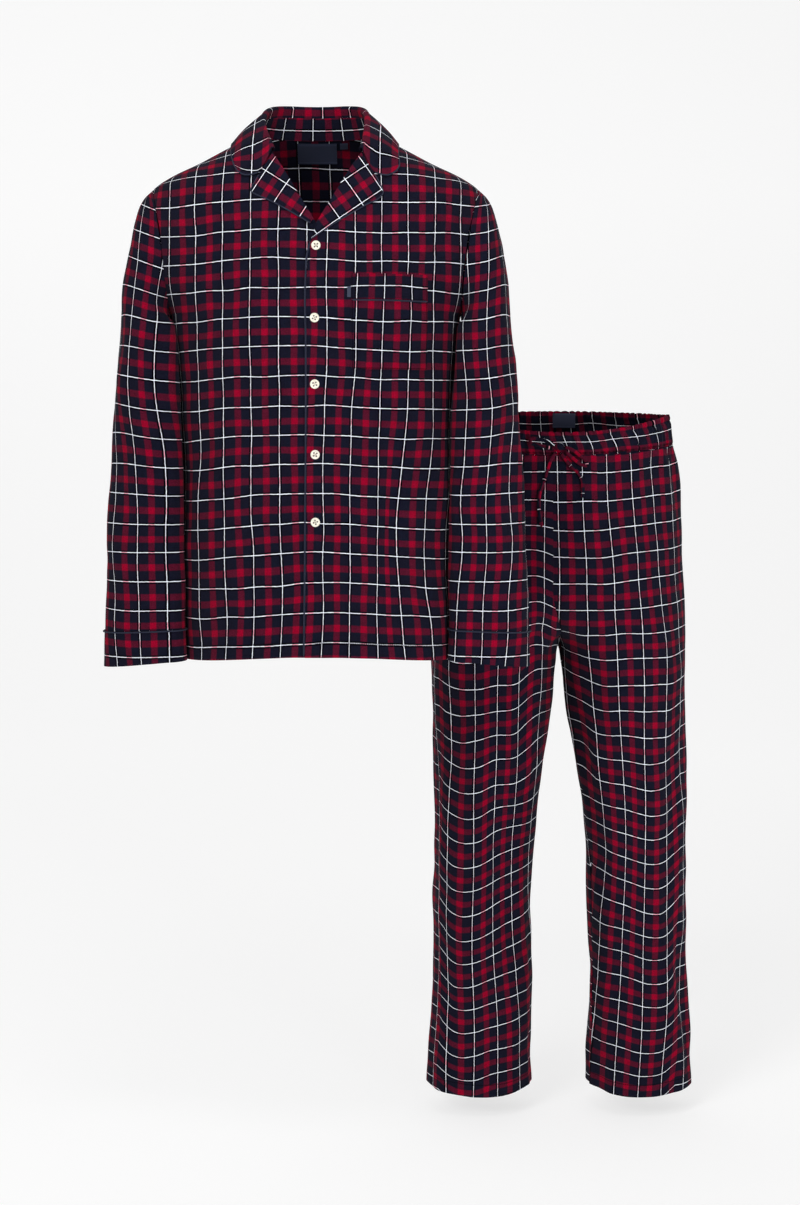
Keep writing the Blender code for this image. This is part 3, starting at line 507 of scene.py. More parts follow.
# the trousers hang from the middle of their waist, x, y and z
trousers = {"x": 359 * mm, "y": 260 * mm, "z": -384 * mm, "casing": 46 * mm, "length": 1052 * mm,
            "gathers": 56, "gatherDepth": 1.8 * mm, "pleats": 14, "pleatDepth": 3 * mm,
            "pleatLength": 85 * mm, "cloth": 1.5 * mm, "gap": 0.3 * mm, "hemRise": 10 * mm,
            "overlap": 0.1 * mm, "fork": (240 * mm, 352 * mm)}  # the rows are closest in this span
legs = columns("drop outer inner depth shift frontHang backRise", [
    (0, 167, -167, 98, 0, 26, 6),
    (46, 173, -173, 104, 0, 14, 8),
    (75, 180, -180, 112, 0, 11, 8),
    (130, 186.5, -186.5, 123, 0, 7, 7),
    (192, 189.5, -189.5, 131, 0, 4, 5),
    (236, 191.5, -191.5, 134, 0, 2, 3),
    (262, 193, -148, 133, 0, 1, 1),
    (290, 194.5, -86, 131, 0, 0, 0),
    (320, 195.5, -31, 127, 0, 0, 0),
    (340, 196, -5, 123, 0, 0, 0),
    (350, 196, 0.8, 121, 0, 0, 0),
    (378, 196, 5, 116, 0.5, 0, 0),
    (440, 195, 11.5, 108, 2, 0, 0),
    (503, 194.5, 20.5, 101, 4, 0, 0),
    (566, 195, 30, 94, 5.5, 0, 0),
    (629, 195.5, 37, 88, 6, 0, 0),
    (692, 195.5, 42.5, 83, 6, 0, 0),
    (756, 196, 45, 79, 6, 0, 0),
    (819, 197.5, 46, 75, 7, 0, 0),
    (883, 200, 45.5, 71, 7.5, 0, 0),
    (948, 203, 44.5, 67, 8, 0, 0),
    (1012, 206.5, 43.5, 63, 8, 0, 0),
    (1052, 208, 43, 61, 8, 0, 0),
])
twist = columns("drop right left", [(0, 0, 0), (340, 0, 0), (420, 10, 5), (520, 20, 12),
                                    (700, 27, 17), (1052, 28, 18)], 1)
# folds of the legs: side (-1 is the wearer's right), angle round the leg (-90 is the
# front), drop, half length, half width, how far it stands out, lean
legFolds = (
    (-1, -115, 470, 190, 16, 4.0, 0.05), (-1, -75, 640, 170, 14, -3.5, 0.10),
    (-1, -125, 900, 160, 13, 3.5, -0.06), (1, -70, 480, 180, 16, 3.5, -0.06),
    (1, -120, 700, 200, 15, 4.0, -0.08), (1, -30, 925, 90, 12, -4.5, 0.04),
    (-1, 80, 560, 220, 18, 4.5, 0.04), (1, 95, 600, 220, 18, 4.5, -0.04),
    (-1, 60, 960, 130, 14, -3.5, 0.05), (1, 110, 930, 130, 14, -3.5, -0.05),
)


def squared(wave, power=roundness):
    # a sine or cosine made fuller, so that the ring it draws is a superellipse
    return np.sign(wave) * np.abs(wave) ** (2 / power)


def ring(angle, half, depth):
    # a superellipse round Z: angle 0 is +X and 90 degrees is +Y
    return half * squared(np.cos(angle)), depth * squared(np.sin(angle))


def angleAt(x, half):
    # the angle, from 0 to 180 degrees, at which a ring reaches x
    share = np.clip(x / half, -1, 1)
    return np.arccos(np.sign(share) * np.abs(share) ** (roundness / 2))


def depthLeft(share):
    # the part of a ring's depth that is left at a share of its half width
    return (1 - share ** roundness) ** (1 / roundness)


def legDegrees(side, angle):
    # degrees round a leg seen from above, from -180 to 180, with -90 in front
    turned = (np.degrees(angle) + 180) % 360 - 180
    turned = np.where(side < 0, -180 - turned, turned)
    return (turned + 180) % 360 - 180


def trouserFace(side, angle, drop):
    # the trousers' face: round the whole hip above the fork and round one leg below it
    t = trousers
    outer = look(legs, "outer", drop)
    inner = look(legs, "inner", drop)
    x, y = ring(angle, (outer - inner) / 2, look(legs, "depth", drop))
    below = ease((drop - t["casing"]) / (t["pleatLength"] * 0.35))
    fade = np.exp(-np.maximum(drop - t["casing"], 0) / t["pleatLength"])
    ripple = t["pleatDepth"] * below * fade * np.cos(t["pleats"] * angle + 0.8)
    folds = [(f[1], f[2] * mm, f[3] * mm, f[4], f[5], f[6] / mm) for f in legFolds if f[0] == side]
    push = ripple + foldSum(folds, legDegrees(side, angle), drop)
    x = x + push * np.cos(angle)
    y = y + push * np.sin(angle)
    front = np.maximum(-np.sin(angle), 0) ** 2
    back = np.maximum(np.sin(angle), 0) ** 2
    hang = look(legs, "backRise", drop) * back - look(legs, "frontHang", drop) * front
    hang = hang + t["hemRise"] * np.cos(angle) ** 2 * ease((drop - 0.96) / 0.09)
    x = side * (x + (outer + inner) / 2) + look(legs, "shift", drop) + t["x"]
    return np.stack([x, y + t["y"], t["z"] - drop + hang], -1)


def onTrousers(x, z, lift):
    # a point on the front of the hip at x from its middle and height z, moved forward
    drop = trousers["z"] - z
    for attempt in range(12):
        angle = -angleAt(x, look(legs, "outer", drop))
        drop = drop + trouserFace(1, angle, drop)[..., 2] - z
    point = trouserFace(1, angle, drop)
    point[..., 1] -= lift
    return point


# the drawstring: narrow tubes of the same cloth, tied in a bow. Each tie's route has x from
# the trousers' middle, height below the origin and distance off the cloth. Its check has the
# distance between pale lines, the part of a repeat that goes round it, and that part's drift
drawstring = {"radius": 2.6 * mm, "flat": 0.8, "steps": 40, "sides": 16}
routes = {
    "loopRight": [(-14, 429, 7), (-25, 423.5, 7.5), (-39, 420, 7), (-49, 420, 6.5),
                  (-50, 424.5, 5.5), (-40, 428.5, 5.2), (-27, 431.5, 5.4), (-15, 434, 6)],
    "loopLeft": [(-0.6, 431, 7), (11, 435.5, 8), (23, 444.5, 7.5), (32, 453.5, 6.5),
                 (32.5, 459, 5.6), (26, 458, 5.2), (13, 448.5, 5.4), (2, 438.5, 6)],
    "endRight": [(-11, 439, 5.4), (-18, 447, 5.2), (-24, 462, 5), (-31, 483, 4.6),
                 (-37, 501, 4.4), (-38, 520, 4.4), (-36, 538, 4.4), (-34, 549, 4.4)],
    "endLeft": [(-5, 440.5, 4.6), (1, 449, 4.4), (10, 460.5, 4.4), (20, 469.5, 4.6),
                (25.5, 480, 4.6), (26.5, 493, 4.6), (26, 506, 4.4)],
}
tieCheck = {"loopRight": (0.072, (-0.36, 0.08), 0.6), "loopLeft": (0.044, (0.075, 0.675), 0),
            "endRight": (0.046, (0.075, 0.675), -0.2), "endLeft": (0.024, (0.0, 0.70), 0.2)}
knot = {"place": (-7, -431, 5.6), "size": (6.4, 4.6, 5.6)}


def makeTies():
    # each tie is a tube along a smooth path over the front of the hip
    d = drawstring
    for name, route in routes.items():
        x, below, lift = np.array(route, float).T * mm
        path = smoothPath(onTrousers(x, -below, lift), d["steps"])
        title = name[0].upper() + name[1:]
        repeat, check, drift = tieCheck[name]
        cord = tubePiece("tie" + title, nodeName("drawstring", title), path, d["radius"], "flannel",
                         around=d["sides"], flat=d["flat"], repeat=repeat, check=check, drift=drift)


def makeKnot():
    # one short turn of the tie round the crossing: a squashed ball with a raised band
    rows, around = 24, 40
    tilt = 0.02  # radians left open at the poles, which a flat cap closes
    polar = np.linspace(tilt, math.pi - tilt, rows)[:, None]
    turn = np.linspace(0, 2 * math.pi, around, endpoint=False)
    swell = 1 + 0.12 * np.sin(2 * turn + 1.2 * polar) * np.sin(polar) + 0.06 * np.sin(5 * turn - polar)
    ball = (np.sin(polar) * np.cos(turn), np.sin(polar) * np.sin(turn), np.cos(polar) + 0 * turn)
    points = np.stack(ball, -1) * swell[..., None] * np.array(knot["size"]) * mm
    points = points + onTrousers(*np.array(knot["place"])[:, None] * mm)[0]
    index = closeRing(np.arange(rows * around).reshape(rows, around))
    corner = np.arange(rows * (around + 1)).reshape(rows, around + 1)
    uv = np.meshgrid(np.linspace(0, 0.5, rows), np.linspace(0, 1.0, around + 1), indexing="ij")
    uv = np.stack(uv, -1).reshape(-1, 2)
    faces = gridFaces(index).tolist() + [index[0, :-1].tolist(), index[-1, :-1][::-1].tolist()]
    used = np.concatenate([gridFaces(corner).ravel(), corner[0, :-1], corner[-1, :-1][::-1]])
    addPiece("tieKnot", "drawstring_knot", points, faces, {"cloth": uv[used]}, "flannel")


makeTies()
makeKnot()
print("drawstring made")

shirt = {"tip": 75 * mm, "underarm": 250 * mm, "armholeDepth": 62 * mm, "tipX": 224 * mm,
         "armholeSag": 5 * mm, "length": 724 * mm, "hemRise": 12 * mm, "rollStart": 33 * mm,
         "rollBreak": 131 * mm, "neckShift": 5 * mm, "overlapFrom": -55 * mm,
         "cloth": 1.5 * mm, "gap": 0.3 * mm, "layer": 2.1 * mm, "onTop": 2.5 * mm}
torso = columns("down half front back", [
    (0, 82, 64, 62),
    (12, 106, 75, 72),
    (26, 133, 86, 82),
    (42, 163.5, 96, 91),
    (58, 198, 104, 99),
    (75, 224, 110, 106),
    (110, 219, 118, 115),
    (160, 211, 124, 120),
    (250, 200, 130, 123),
    (300, 195, 131, 122),
    (360, 192.3, 130, 121),
    (450, 190.8, 128, 119),
    (560, 189.8, 127, 120),
    (724, 188.5, 126, 121),
])
# main folds: x, down, half length, half width, how far out, lean in degrees
frontFolds = ((-168, 215, 85, 17, 4.0, 14), (166, 205, 90, 16, 3.5, -16), (-120, 590, 150, 24, 3.0, 4),
              (118, 560, 160, 26, 3.0, -3), (-60, 470, 120, 22, -2.5, 2))
backFolds = ((-150, 230, 100, 20, 4.5, 12), (150, 225, 100, 20, 4.5, -12), (-70, 560, 170, 30, 4.0, 3),
             (65, 520, 180, 30, 4.0, -4))
# small folds that only lie on the cloth
frontCreases = ((-140, 300, 70, 9, 2.4, -20), (-95, 420, 90, 10, 2.0, 12), (-30, 560, 100, 9, -2.0, 4),
                (84, 500, 110, 9, 2.6, -5), (103, 545, 110, 9, -3.2, -5), (60, 620, 80, 12, 2.0, 6),
                (150, 380, 90, 10, 2.2, 12), (-165, 480, 120, 9, 2.2, 4), (150, 620, 90, 10, -2.0, -4),
                (-85, 210, 60, 12, 1.6, 25), (110, 150, 50, 12, 1.2, -20), (-120, 520, 80, 8, -1.8, -9),
                (40, 300, 80, 9, -1.6, 10), (-60, 350, 70, 8, 1.6, -12), (120, 270, 60, 9, 1.4, -24),
                (-150, 150, 45, 10, -1.6, 40), (165, 160, 50, 9, -1.8, -38))
backCreases = ((-110, 330, 110, 12, 1.5, 16), (100, 350, 120, 12, 1.5, -14), (0, 450, 160, 14, 1.4, 2),
               (-150, 620, 90, 11, 1.3, -4), (140, 600, 100, 11, -1.3, 5), (20, 150, 60, 18, 1.0, 60))


def armholeHalf(down):
    # half the armhole's depth: an ellipse's, from shoulder tip to underarm
    middle = (shirt["underarm"] + shirt["tip"]) / 2
    reach = (shirt["underarm"] - shirt["tip"]) / 2
    return shirt["armholeDepth"] * np.sqrt(1 - np.clip((down - middle) / reach, -1, 1) ** 2)


def armholeX(down):
    # a line from shoulder tip to underarm that curves in a little
    t = np.clip((down - shirt["tip"]) / (shirt["underarm"] - shirt["tip"]), 0, 1)
    bottom = look(torso, "half", shirt["underarm"])
    return shirt["tipX"] + (bottom - shirt["tipX"]) * t - 4 * shirt["armholeSag"] * t * (1 - t)


def bodyHalf(down, depth):
    # half a ring's width, wide enough beside the armhole for the ring to end on its edge
    inside = (down > shirt["tip"]) & (down < shirt["underarm"])
    side = np.where(inside, armholeX(down), look(torso, "half", down))
    return side / depthLeft(armholeHalf(down) / depth)


def leanSum(folds, x, down):
    # the sum of folds whose rows are x, down, half length, half width, how far out and degrees
    leaning = [(*(n * mm for n in f[:4]), f[4], math.tan(math.radians(f[5]))) for f in folds]
    return foldSum(leaning, x, down)


def shirtBase(angle, down):
    # a ring at each height, with the main folds pushed out and the front hem raised
    front = np.sin(angle) < 0
    depth = np.where(front, look(torso, "front", down), look(torso, "back", down))
    x, y = ring(angle, bodyHalf(down, depth), depth)
    push = np.where(front, leanSum(frontFolds, x, down), leanSum(backFolds, x, down))
    facing = np.abs(np.sin(angle)) ** 1.5
    y = y + np.sign(y) * push * facing
    rise = shirt["hemRise"] * ease((down - shirt["underarm"]) / (shirt["length"] - shirt["underarm"]))
    return np.stack([x, y, -down + rise * np.where(front, facing ** 2, 0)], -1)


def bodyAngle(x, down, face="front"):
    # the angle of a point on the front or on the back
    angle = angleAt(x, bodyHalf(down, look(torso, face, down)))
    return -angle if face == "front" else angle


def shirtCreases(angle, down, x):
    # small folds and a slow unevenness, less at the neck and round the armholes
    front = np.sin(angle) < 0
    folds = np.where(front, leanSum(frontCreases, x, down), leanSum(backCreases, x, down))
    calm = ease((down - 60 * mm) / (90 * mm))
    aside = x + np.where(front, 0, 3)  # metres, so that the back's ripples are other ones
    slow = ripples(aside, down, 11, 110 * mm, 2.0) * 2.0 * mm
    quick = ripples(aside, down, 12, 46 * mm, 1.7) * 0.65 * mm
    hem = ease((down - 690 * mm) / (34 * mm)) * ripples(x, down, 13, 60 * mm, 4) * 1.0 * mm
    stitched = (down - 703 * mm) / mm  # the hem is double below its row of stitching
    hem = hem + 0.5 * mm * (ease(stitched / 2) - bell(stitched / 3))
    return (folds + slow + quick) * calm + hem


def shirtPoint(angle, down, lift=0.0):
    # a point on the shirt's face with its creases, moved out by lift, and its normal
    base = shirtBase(angle, down)
    out = facingOut(shirtBase, angle, down)
    away = shirtCreases(angle, down, base[..., 0]) + lift
    return base + np.asarray(away)[..., None] * out, out


# inner edges of the fronts: half the neck opening, then the top and the under edge
opening = columns("down open", [(0, 81), (1, 79.5), (4.5, 75), (10, 71), (18, 67.5), (26, 64.5),
                                (33, 60.5), (58, 44.5), (86, 27.5), (110, 13), (131, 0)])
topEdge = columns("down x", [(131, 5), (153, -1), (172, -6), (200, -8), (300, -8), (724, -12.5)])
underEdge = columns("down x", [(131, 5), (150, 14), (172, 19), (200, 20), (724, 20)])


def innerEdge(side, down):
    # the neck opening's side above the roll's end, and the front's upright edge below it
    gap = side * look(opening, "open", down) + shirt["neckShift"] * ease(down / shirt["rollStart"])
    return np.where(down < shirt["rollBreak"], gap, look(topEdge if side > 0 else underEdge, "x", down))


def sideAngle(down, face):
    # the angle of the side seam, outside the armhole
    share = (armholeHalf(down) + shirt["gap"] / 2) / look(torso, face, down)
    return np.arcsin(share ** (roundness / 2))


# where the check lies on the shirt's body: a pale line's place and the spacing of the others
bodyCheck = {"across": 38.0 * mm, "down": 39.6 * mm, "acrossLeft": 37.2 * mm, "lineRight": -45.5 * mm,
             "lineLeft": 15 * mm, "lineBack": 17 * mm, "acrossBack": 45 * mm, "rowBack": 78 * mm,
             "downBack": 50 * mm, "row": 140 * mm, "stitch": 704 * mm, "split": -14 * mm}
# how much lower the rows lie at the side seam, near the opening, on the pocket's side and at
# the other side seam
bodyRows = columns("down right opening chest left", [
    (0, 0, 0, 0, 0), (100, 2, -1, 3, 0), (141, 4, -1, 5, 1), (180, 3, -3, 2, 1), (217, 1.5, -3, -3, 0.5),
    (260, 1, -4, 1, -1), (300, 2, -5, 2, -1), (340, 2, -5, 1.5, -2), (420, 3.5, -3, 1.5, 0),
    (500, 7, 1, 3, 3.5), (580, 9.5, 3, 6.5, 9), (660, 12, 10, 7, 9), (724, 11.5, 12, 9, 8)])
# how far the left front's lines stray from upright near the opening
bodyDrift = columns("down shift", [(0, 0), (100, 3), (150, 5), (232, 4), (311, 4), (351, 1.5), (431, -1.5),
                                   (550, -2.5), (724, -5)])
bodyKnots = np.array([-163, -35, 115, 181]) * mm


def bodyUv(x, down, face):
    # across is the distance round the body from its middle, its depth counted in part;
    # down is the distance down the cloth
    c = bodyCheck
    front = face == "front"
    steps = np.linspace(0, 1, 33)
    xs = x[..., None] * steps
    share = np.clip(np.abs(xs) / bodyHalf(down, look(torso, face, down))[..., None], 0, 1)
    y = look(torso, face, down)[..., None] * depthLeft(share)
    count = 0.3 + 0.7 * ease((share[..., 1:] - 0.85) / 0.15)
    across = np.sign(x) * np.sqrt(np.diff(xs) ** 2 + (count * np.diff(y)) ** 2).sum(-1)
    downs = c["row"] + (np.minimum(down, c["row"]) - c["row"])[..., None] * steps
    deep = look(torso, face, downs)
    share = np.clip(np.abs(x)[..., None] / bodyHalf(downs, deep), 0, 1)
    above = np.sqrt(np.diff(downs) ** 2 + np.diff(deep * depthLeft(share)) ** 2).sum(-1)
    along = np.maximum(down, c["row"]) - above
    names = ("right", "opening", "chest", "left")
    lower = lookAcross(np.stack([look(bodyRows, name, down) for name in names]), bodyKnots, x)
    along = along - lower * (1 if front else 0.6)
    if front:
        onRight = x < c["split"]
        line = np.where(onRight, c["lineRight"], c["lineLeft"])
        pitch = np.where(onRight, c["across"], c["acrossLeft"])
        # a lengthwise fold beside the pocket takes up some of the cloth low down
        across = across + 13 * mm * ease((x - 84 * mm) / (28 * mm)) * bell((down - 560 * mm) / (120 * mm))
        nearOpening = ~onRight * (1 - ease((x - 60 * mm) / (60 * mm)))
        across = across - look(bodyDrift, "shift", down) * nearOpening
    across = across + ripples(x, down, 21, 230 * mm) * 1.2 * mm
    across = across + ripples(x, down, 23, 60 * mm, 1.5) * 0.5 * mm
    along = along + ripples(x, down, 22, 160 * mm) * 1.0 * mm + ripples(x, down, 24, 60 * mm) * 0.6 * mm
    if front:
        return np.stack([(across - line) / pitch, (along - c["row"]) / c["down"]], -1)
    # the back's cloth is cut with its lines a little further apart at the neck
    middle = np.clip(across, -85 * mm, 85 * mm) - c["lineBack"]
    u = middle / (c["acrossBack"] + 2 * mm * (middle > 0)) + (across - c["lineBack"] - middle) / c["across"]
    above = along - c["rowBack"]
    return np.stack([u, 1 + above / np.where(above < 0, c["downBack"], c["down"])], -1)


def frontUv(x, down, side):
    # each front keeps its own lines across the overlap
    c = bodyCheck
    uv = bodyUv(x, down, "front")
    if side > 0:
        own = (x - c["lineLeft"] - look(bodyDrift, "shift", down)) / c["acrossLeft"]
    else:
        own = (x - c["lineRight"]) / c["across"]
    uv[..., 0] = np.where(side * (x - c["split"]) < 0, own, uv[..., 0])
    return uv


def hemStitch(x, down):
    # the edge map: 1 along the row of stitching above the hem, and the distance along it
    return np.stack([1 + down - bodyCheck["stitch"], x], -1)


bothSides = ((1, "Left"), (-1, "Right"))


def makePanel(name, rows, first, last, count, side, restsOn):
    # a panel of the shirt between two lines of angles; side is 0 for the back
    angle = first[:, None] + (last - first)[:, None] * np.linspace(0, 1, count)
    down = np.repeat(rows[:, None], count, 1)
    x = shirtBase(angle, down)[..., 0]
    sink = 0
    if side < 0:  # the under front dips where the top one covers it
        cover = ease((x - shirt["overlapFrom"]) / (30 * mm))
        sink = shirt["layer"] * cover * ease((down - 90 * mm) / (25 * mm))
    outer, out = shirtPoint(angle, down, -sink)
    uv = frontUv(x, down, side) if side else bodyUv(x, down, "back")
    clothPiece("shirt" + name, nodeName("shirt", name), outer, out, {"cloth": uv, "edge": hemStitch(x, down)},
               shirt["cloth"], held="draped", restsOn=restsOn)


def makeBody():
    # the back is one panel, and each front runs from its inner edge to the side seam
    rows = (np.linspace(0, 75, 34), np.linspace(75, 250, 56), np.linspace(250, 724, 120))
    rows = np.unique(np.concatenate(rows)) * mm
    sides = sideAngle(rows, "back")
    makePanel("Back", rows, sides, math.pi - sides, 116, 0, ["shirt_front_left", "shirt_front_right"])
    sides = sideAngle(rows, "front")
    for side, name in bothSides:
        inner = bodyAngle(innerEdge(side, rows), rows)
        first, last = (inner, -sides) if side > 0 else (sides - math.pi, inner)
        makePanel("Front" + name, rows, first, last, 70, side, ["shirt_back"])


makeBody()
print("shirt's body made")

# the sleeves' rings, from the armhole down to the cuff's end
sleeveTable = columns("row outerX outerDown innerX innerDown depth forward", [
    (0, 224.5, 75, 200.5, 250, 62, 0),
    (1, 236, 86, 201.3, 251.6, 63.5, 0),
    (2, 245, 102, 201.8, 253.8, 65, 0),
    (3, 251.5, 124, 202, 256.5, 66.5, 1),
    (4, 257, 150, 202.2, 260.5, 67.5, 1),
    (5, 262, 182, 201.8, 266, 68, 5),
    (6, 266.5, 218, 200.6, 276, 68, 8),
    (7, 271, 268, 197.6, 300, 67, 12),
    (8, 275.5, 330, 194.2, 348, 64.5, 15),
    (9, 279.5, 388, 192.4, 400, 61.5, 17),
    (10, 283.5, 446, 191, 453, 58, 19),
    (11, 287.5, 505, 190, 508, 54.5, 21),
    (12, 291, 565, 188.8, 565, 50.5, 24),
    (13, 294, 625, 188, 624, 46, 27),
    (14, 295.5, 684, 188.6, 680, 40, 30),
    (15, 296.5, 734, 187, 724, 36, 31),
])
# row, angle round it in degrees (0 outer, 90 front), half length in rows, half width,
# how far out, lean
sleeveFolds = ((6.0, 70, 1.6, 22, -3.5, 0.020), (8.5, 105, 1.2, 26, 3.5, -0.018),
               (9.6, 60, 1.0, 20, -3.0, 0.022), (11.4, 95, 1.5, 24, 3.0, 0.012),
               (8.8, 250, 1.2, 28, 3.5, 0.018), (10.6, 285, 1.4, 26, -3.0, -0.015))
sleeves = {"end": 14, "cuffEnd": 15, "gap": 0.004, "cuffWall": 2.2 * mm, "cuffLift": 0.7 * mm,
           "piping": 1.0 * mm, "seed": {1: 31, -1: 41}, "fuller": {1: 10.5 * mm, -1: 13.125 * mm}}
sleeveCheck = {"row": 295.6 * mm, "down": 39.7 * mm, "middle": 235 * mm, "innerSlope": {1: 0.45, -1: 1},
               "inward": {1: 30 * mm, -1: 35 * mm}, "outward": {1: 34.5 * mm, -1: 35 * mm},
               "cuffShift": {1: (0, -0.6), -1: (-0.03, -0.62)}}
# the sleeve's level ovals for its check, how far inward of their front a pale line lies on
# each sleeve, and the slope of the rows
sleeveOval = columns("down middle reach depth forward slope right left", [
    (75, 230, 6, 60, 0, 0.55, 30, -7), (100, 231, 16, 63, 0, 0.5, 30, -7),
    (130, 231, 23, 66, 0, 0.45, 28, -6), (180, 231, 31, 68, 2, 0.36, 26, -5),
    (240, 232, 37, 68, 6, 0.26, 18, -3), (300, 234, 40, 66, 12, 0.19, 15, -1),
    (380, 236, 43, 62, 17, 0.14, 19, -5), (440, 237, 46, 58, 19, 0.10, 27, -1),
    (500, 239, 48, 54, 21, 0.06, 31, 5), (560, 240, 51, 50, 24, 0.02, 31, 4),
    (640, 241, 53, 44, 28, 0, 33, 10), (735, 242, 54, 37, 31, 0, 36, 15)])


def sleeveFace(angle, row):
    # rings that turn from the armhole down to the cuff
    outerX, outerDown, innerX, innerDown, depth, forward = lookAll(sleeveTable, row * mm).values()
    middleX = (outerX + innerX) / 2
    middleDown = (outerDown + innerDown) / 2
    folds = [(f[1], f[0], *f[2:]) for f in sleeveFolds]
    swell = 1 + foldSum(folds, np.degrees(angle) % 360, row) / (50 * mm)
    power = 2 + ease(row / 3) * 0.25
    c = squared(np.cos(angle), power) * swell
    s = squared(np.sin(angle), power) * swell
    sag = shirt["armholeSag"] * (1 - ease(row / 6)) * np.sin(angle) ** 2
    x = middleX + (outerX - middleX) * c - sag + shirt["gap"]
    return np.stack([x, -depth * s - forward, -(middleDown + (outerDown - middleDown) * c)], -1)


def sleeveCreases(face, angle, row, side):
    # a slow unevenness, most at the elbow, and a fuller side towards the body and the back
    x, y, z = (face[..., k] for k in range(3))
    seed = sleeves["seed"][side]
    calm = ease(row / 1.5) * (1 - 0.7 * ease((row - 13) / 1.2))
    elbow = bell((z + 0.36) / 0.13)
    slow = ripples(x + y, z - 0.6 * x, seed, 95 * mm, 1.3) * (1.0 + 1.4 * elbow) * mm
    quick = ripples(x + y, z, seed + 1, 34 * mm) * 0.25 * mm
    cuff = ease((row - 13) / 1) * ripples(np.arctan2(y, x - 0.24), z, seed + 2, 0.5, 9) * 0.5 * mm
    inward = bell((angle - math.radians(148)) / math.radians(26)) * ease((row - 2.8) / 3)
    behind = bell((angle + math.radians(160)) / math.radians(18)) * 2.5 * mm * ease((row - 4) / 3)
    return (slow + quick) * calm + cuff + inward * sleeves["fuller"][side] + behind


def sleevePoint(side, angle, row, lift=0.0):
    # a point of the creased sleeve moved out by lift and mirrored to its side, its normal, and
    # the smooth sleeve's point
    face = sleeveFace(angle, row)
    out = -facingOut(sleeveFace, angle, row)
    outer = face + (lift + sleeveCreases(face, angle, row, side))[..., None] * out
    flip = np.array([side, 1, 1])
    return outer * flip, out * flip, face


def sleeveUv(face, angle, side):
    # across is the distance round a level oval from its front, down is the height with the
    # rows sloping towards the body; the last column is the first one a whole turn on
    check = sleeveCheck
    face = closeRing(face)
    angle = np.concatenate([angle, angle[:, :1] + 2 * math.pi], axis=1)
    x, y = face[..., 0], face[..., 1]
    down = -face[..., 2]
    oval = lookAll(sleeveOval, down)
    raw = np.arctan2(-(y + oval["forward"]) / oval["depth"], (x - oval["middle"]) / oval["reach"])
    turned = angle + (raw - angle + math.pi) % (2 * math.pi) - math.pi
    steps = math.pi / 2 + (turned - math.pi / 2)[..., None] * np.linspace(0, 1, 25)
    arc = np.hypot(oval["reach"][..., None] * np.sin(steps), 0.8 * oval["depth"][..., None] * np.cos(steps))
    across = ((arc[..., 1:] + arc[..., :-1]) / 2 * np.diff(steps)).sum(-1)
    across = across - oval["right" if side < 0 else "left"]
    slope = oval["slope"] / mm * np.where(x < check["middle"], check["innerSlope"][side], 1)
    down = down + slope * (x - check["middle"])
    pitch = np.where(across > 0, check["inward"][side], check["outward"][side])
    uv = np.stack([across / pitch, (down - check["row"]) / check["down"]], -1)
    return uv + np.stack([ripples(x + y, down, 25, 120 * mm), ripples(x + y, down, 26, 120 * mm)], -1) * 0.03


def sleeveRings(first, last, count):
    # a grid of angles round the sleeve and of rows down it
    angle = np.linspace(-math.pi, math.pi, 96, endpoint=False)
    return np.meshgrid(angle, np.linspace(first, last, count))


def makeSleeves():
    # on each side a sleeve, its cuff and the piping between them
    s = sleeves
    for side, name in bothSides:
        angle, row = sleeveRings(0, s["end"] - s["gap"], 175)
        outer, out, face = sleevePoint(side, angle, row)
        node = nodeName("sleeve", name)
        clothPiece("sleeve" + name, node, outer, out, {"cloth": sleeveUv(face, angle, side)}, shirt["cloth"],
                   held="draped", restsOn=[nodeName("shirt_front", name)], closed=True)
        angle, row = sleeveRings(s["end"] + s["gap"], s["cuffEnd"], 18)
        outer, out, face = sleevePoint(side, angle, row, s["cuffLift"])
        uv = sleeveUv(face, angle, side) + np.array(sleeveCheck["cuffShift"][side])
        clothPiece("cuff" + name, nodeName("cuff", name), outer, out, {"cloth": uv}, s["cuffWall"],
                   held="draped", restsOn=[node], closed=True)
        turn = np.linspace(-math.pi, math.pi, 120, endpoint=False)
        lift = s["cuffLift"] + 2 * shirt["gap"] + s["piping"]
        path = sleevePoint(side, turn, np.full(turn.shape, s["end"] + 0.02), lift)[0]
        tubePiece("cuffPiping" + name, nodeName("cuff_piping", name), path, s["piping"], closed=True)


makeSleeves()
print("sleeves made")

# the collar: its seam, its fold and the leaf's edge at each station from the back's middle
collar = columns("station seamX seamDown foldX foldY foldZ edgeX edgeDown", [
    (0, 0, 0, 0, 61, 46, 0, 20),
    (1, 24, 0, 21, 58.5, 46, 33, 19.5),
    (2, 46, 0, 40, 50, 45.5, 63, 18.5),
    (3, 65, 0, 56, 36, 43, 88, 17),
    (4, 77, 0, 65, 19, 38.5, 103.5, 15.5),
    (5, 82, 0, 69, 3, 32.5, 110, 15),
    (6, 79.5, 1, 70.5, -14, 24.5, 112, 19),
    (7, 75, 4.5, 69.5, -31, 14, 112, 26),
    (8, 71, 10, 67.5, -48, 2.5, 111.5, 35),
    (9, 67.5, 18, 64.5, -64, -9, 111, 44),
    (10, 64.5, 26, 61, -77.5, -20.5, 110, 53),
    (11, 60.5, 33, 57.5, -86.5, -30, 106, 61),
])
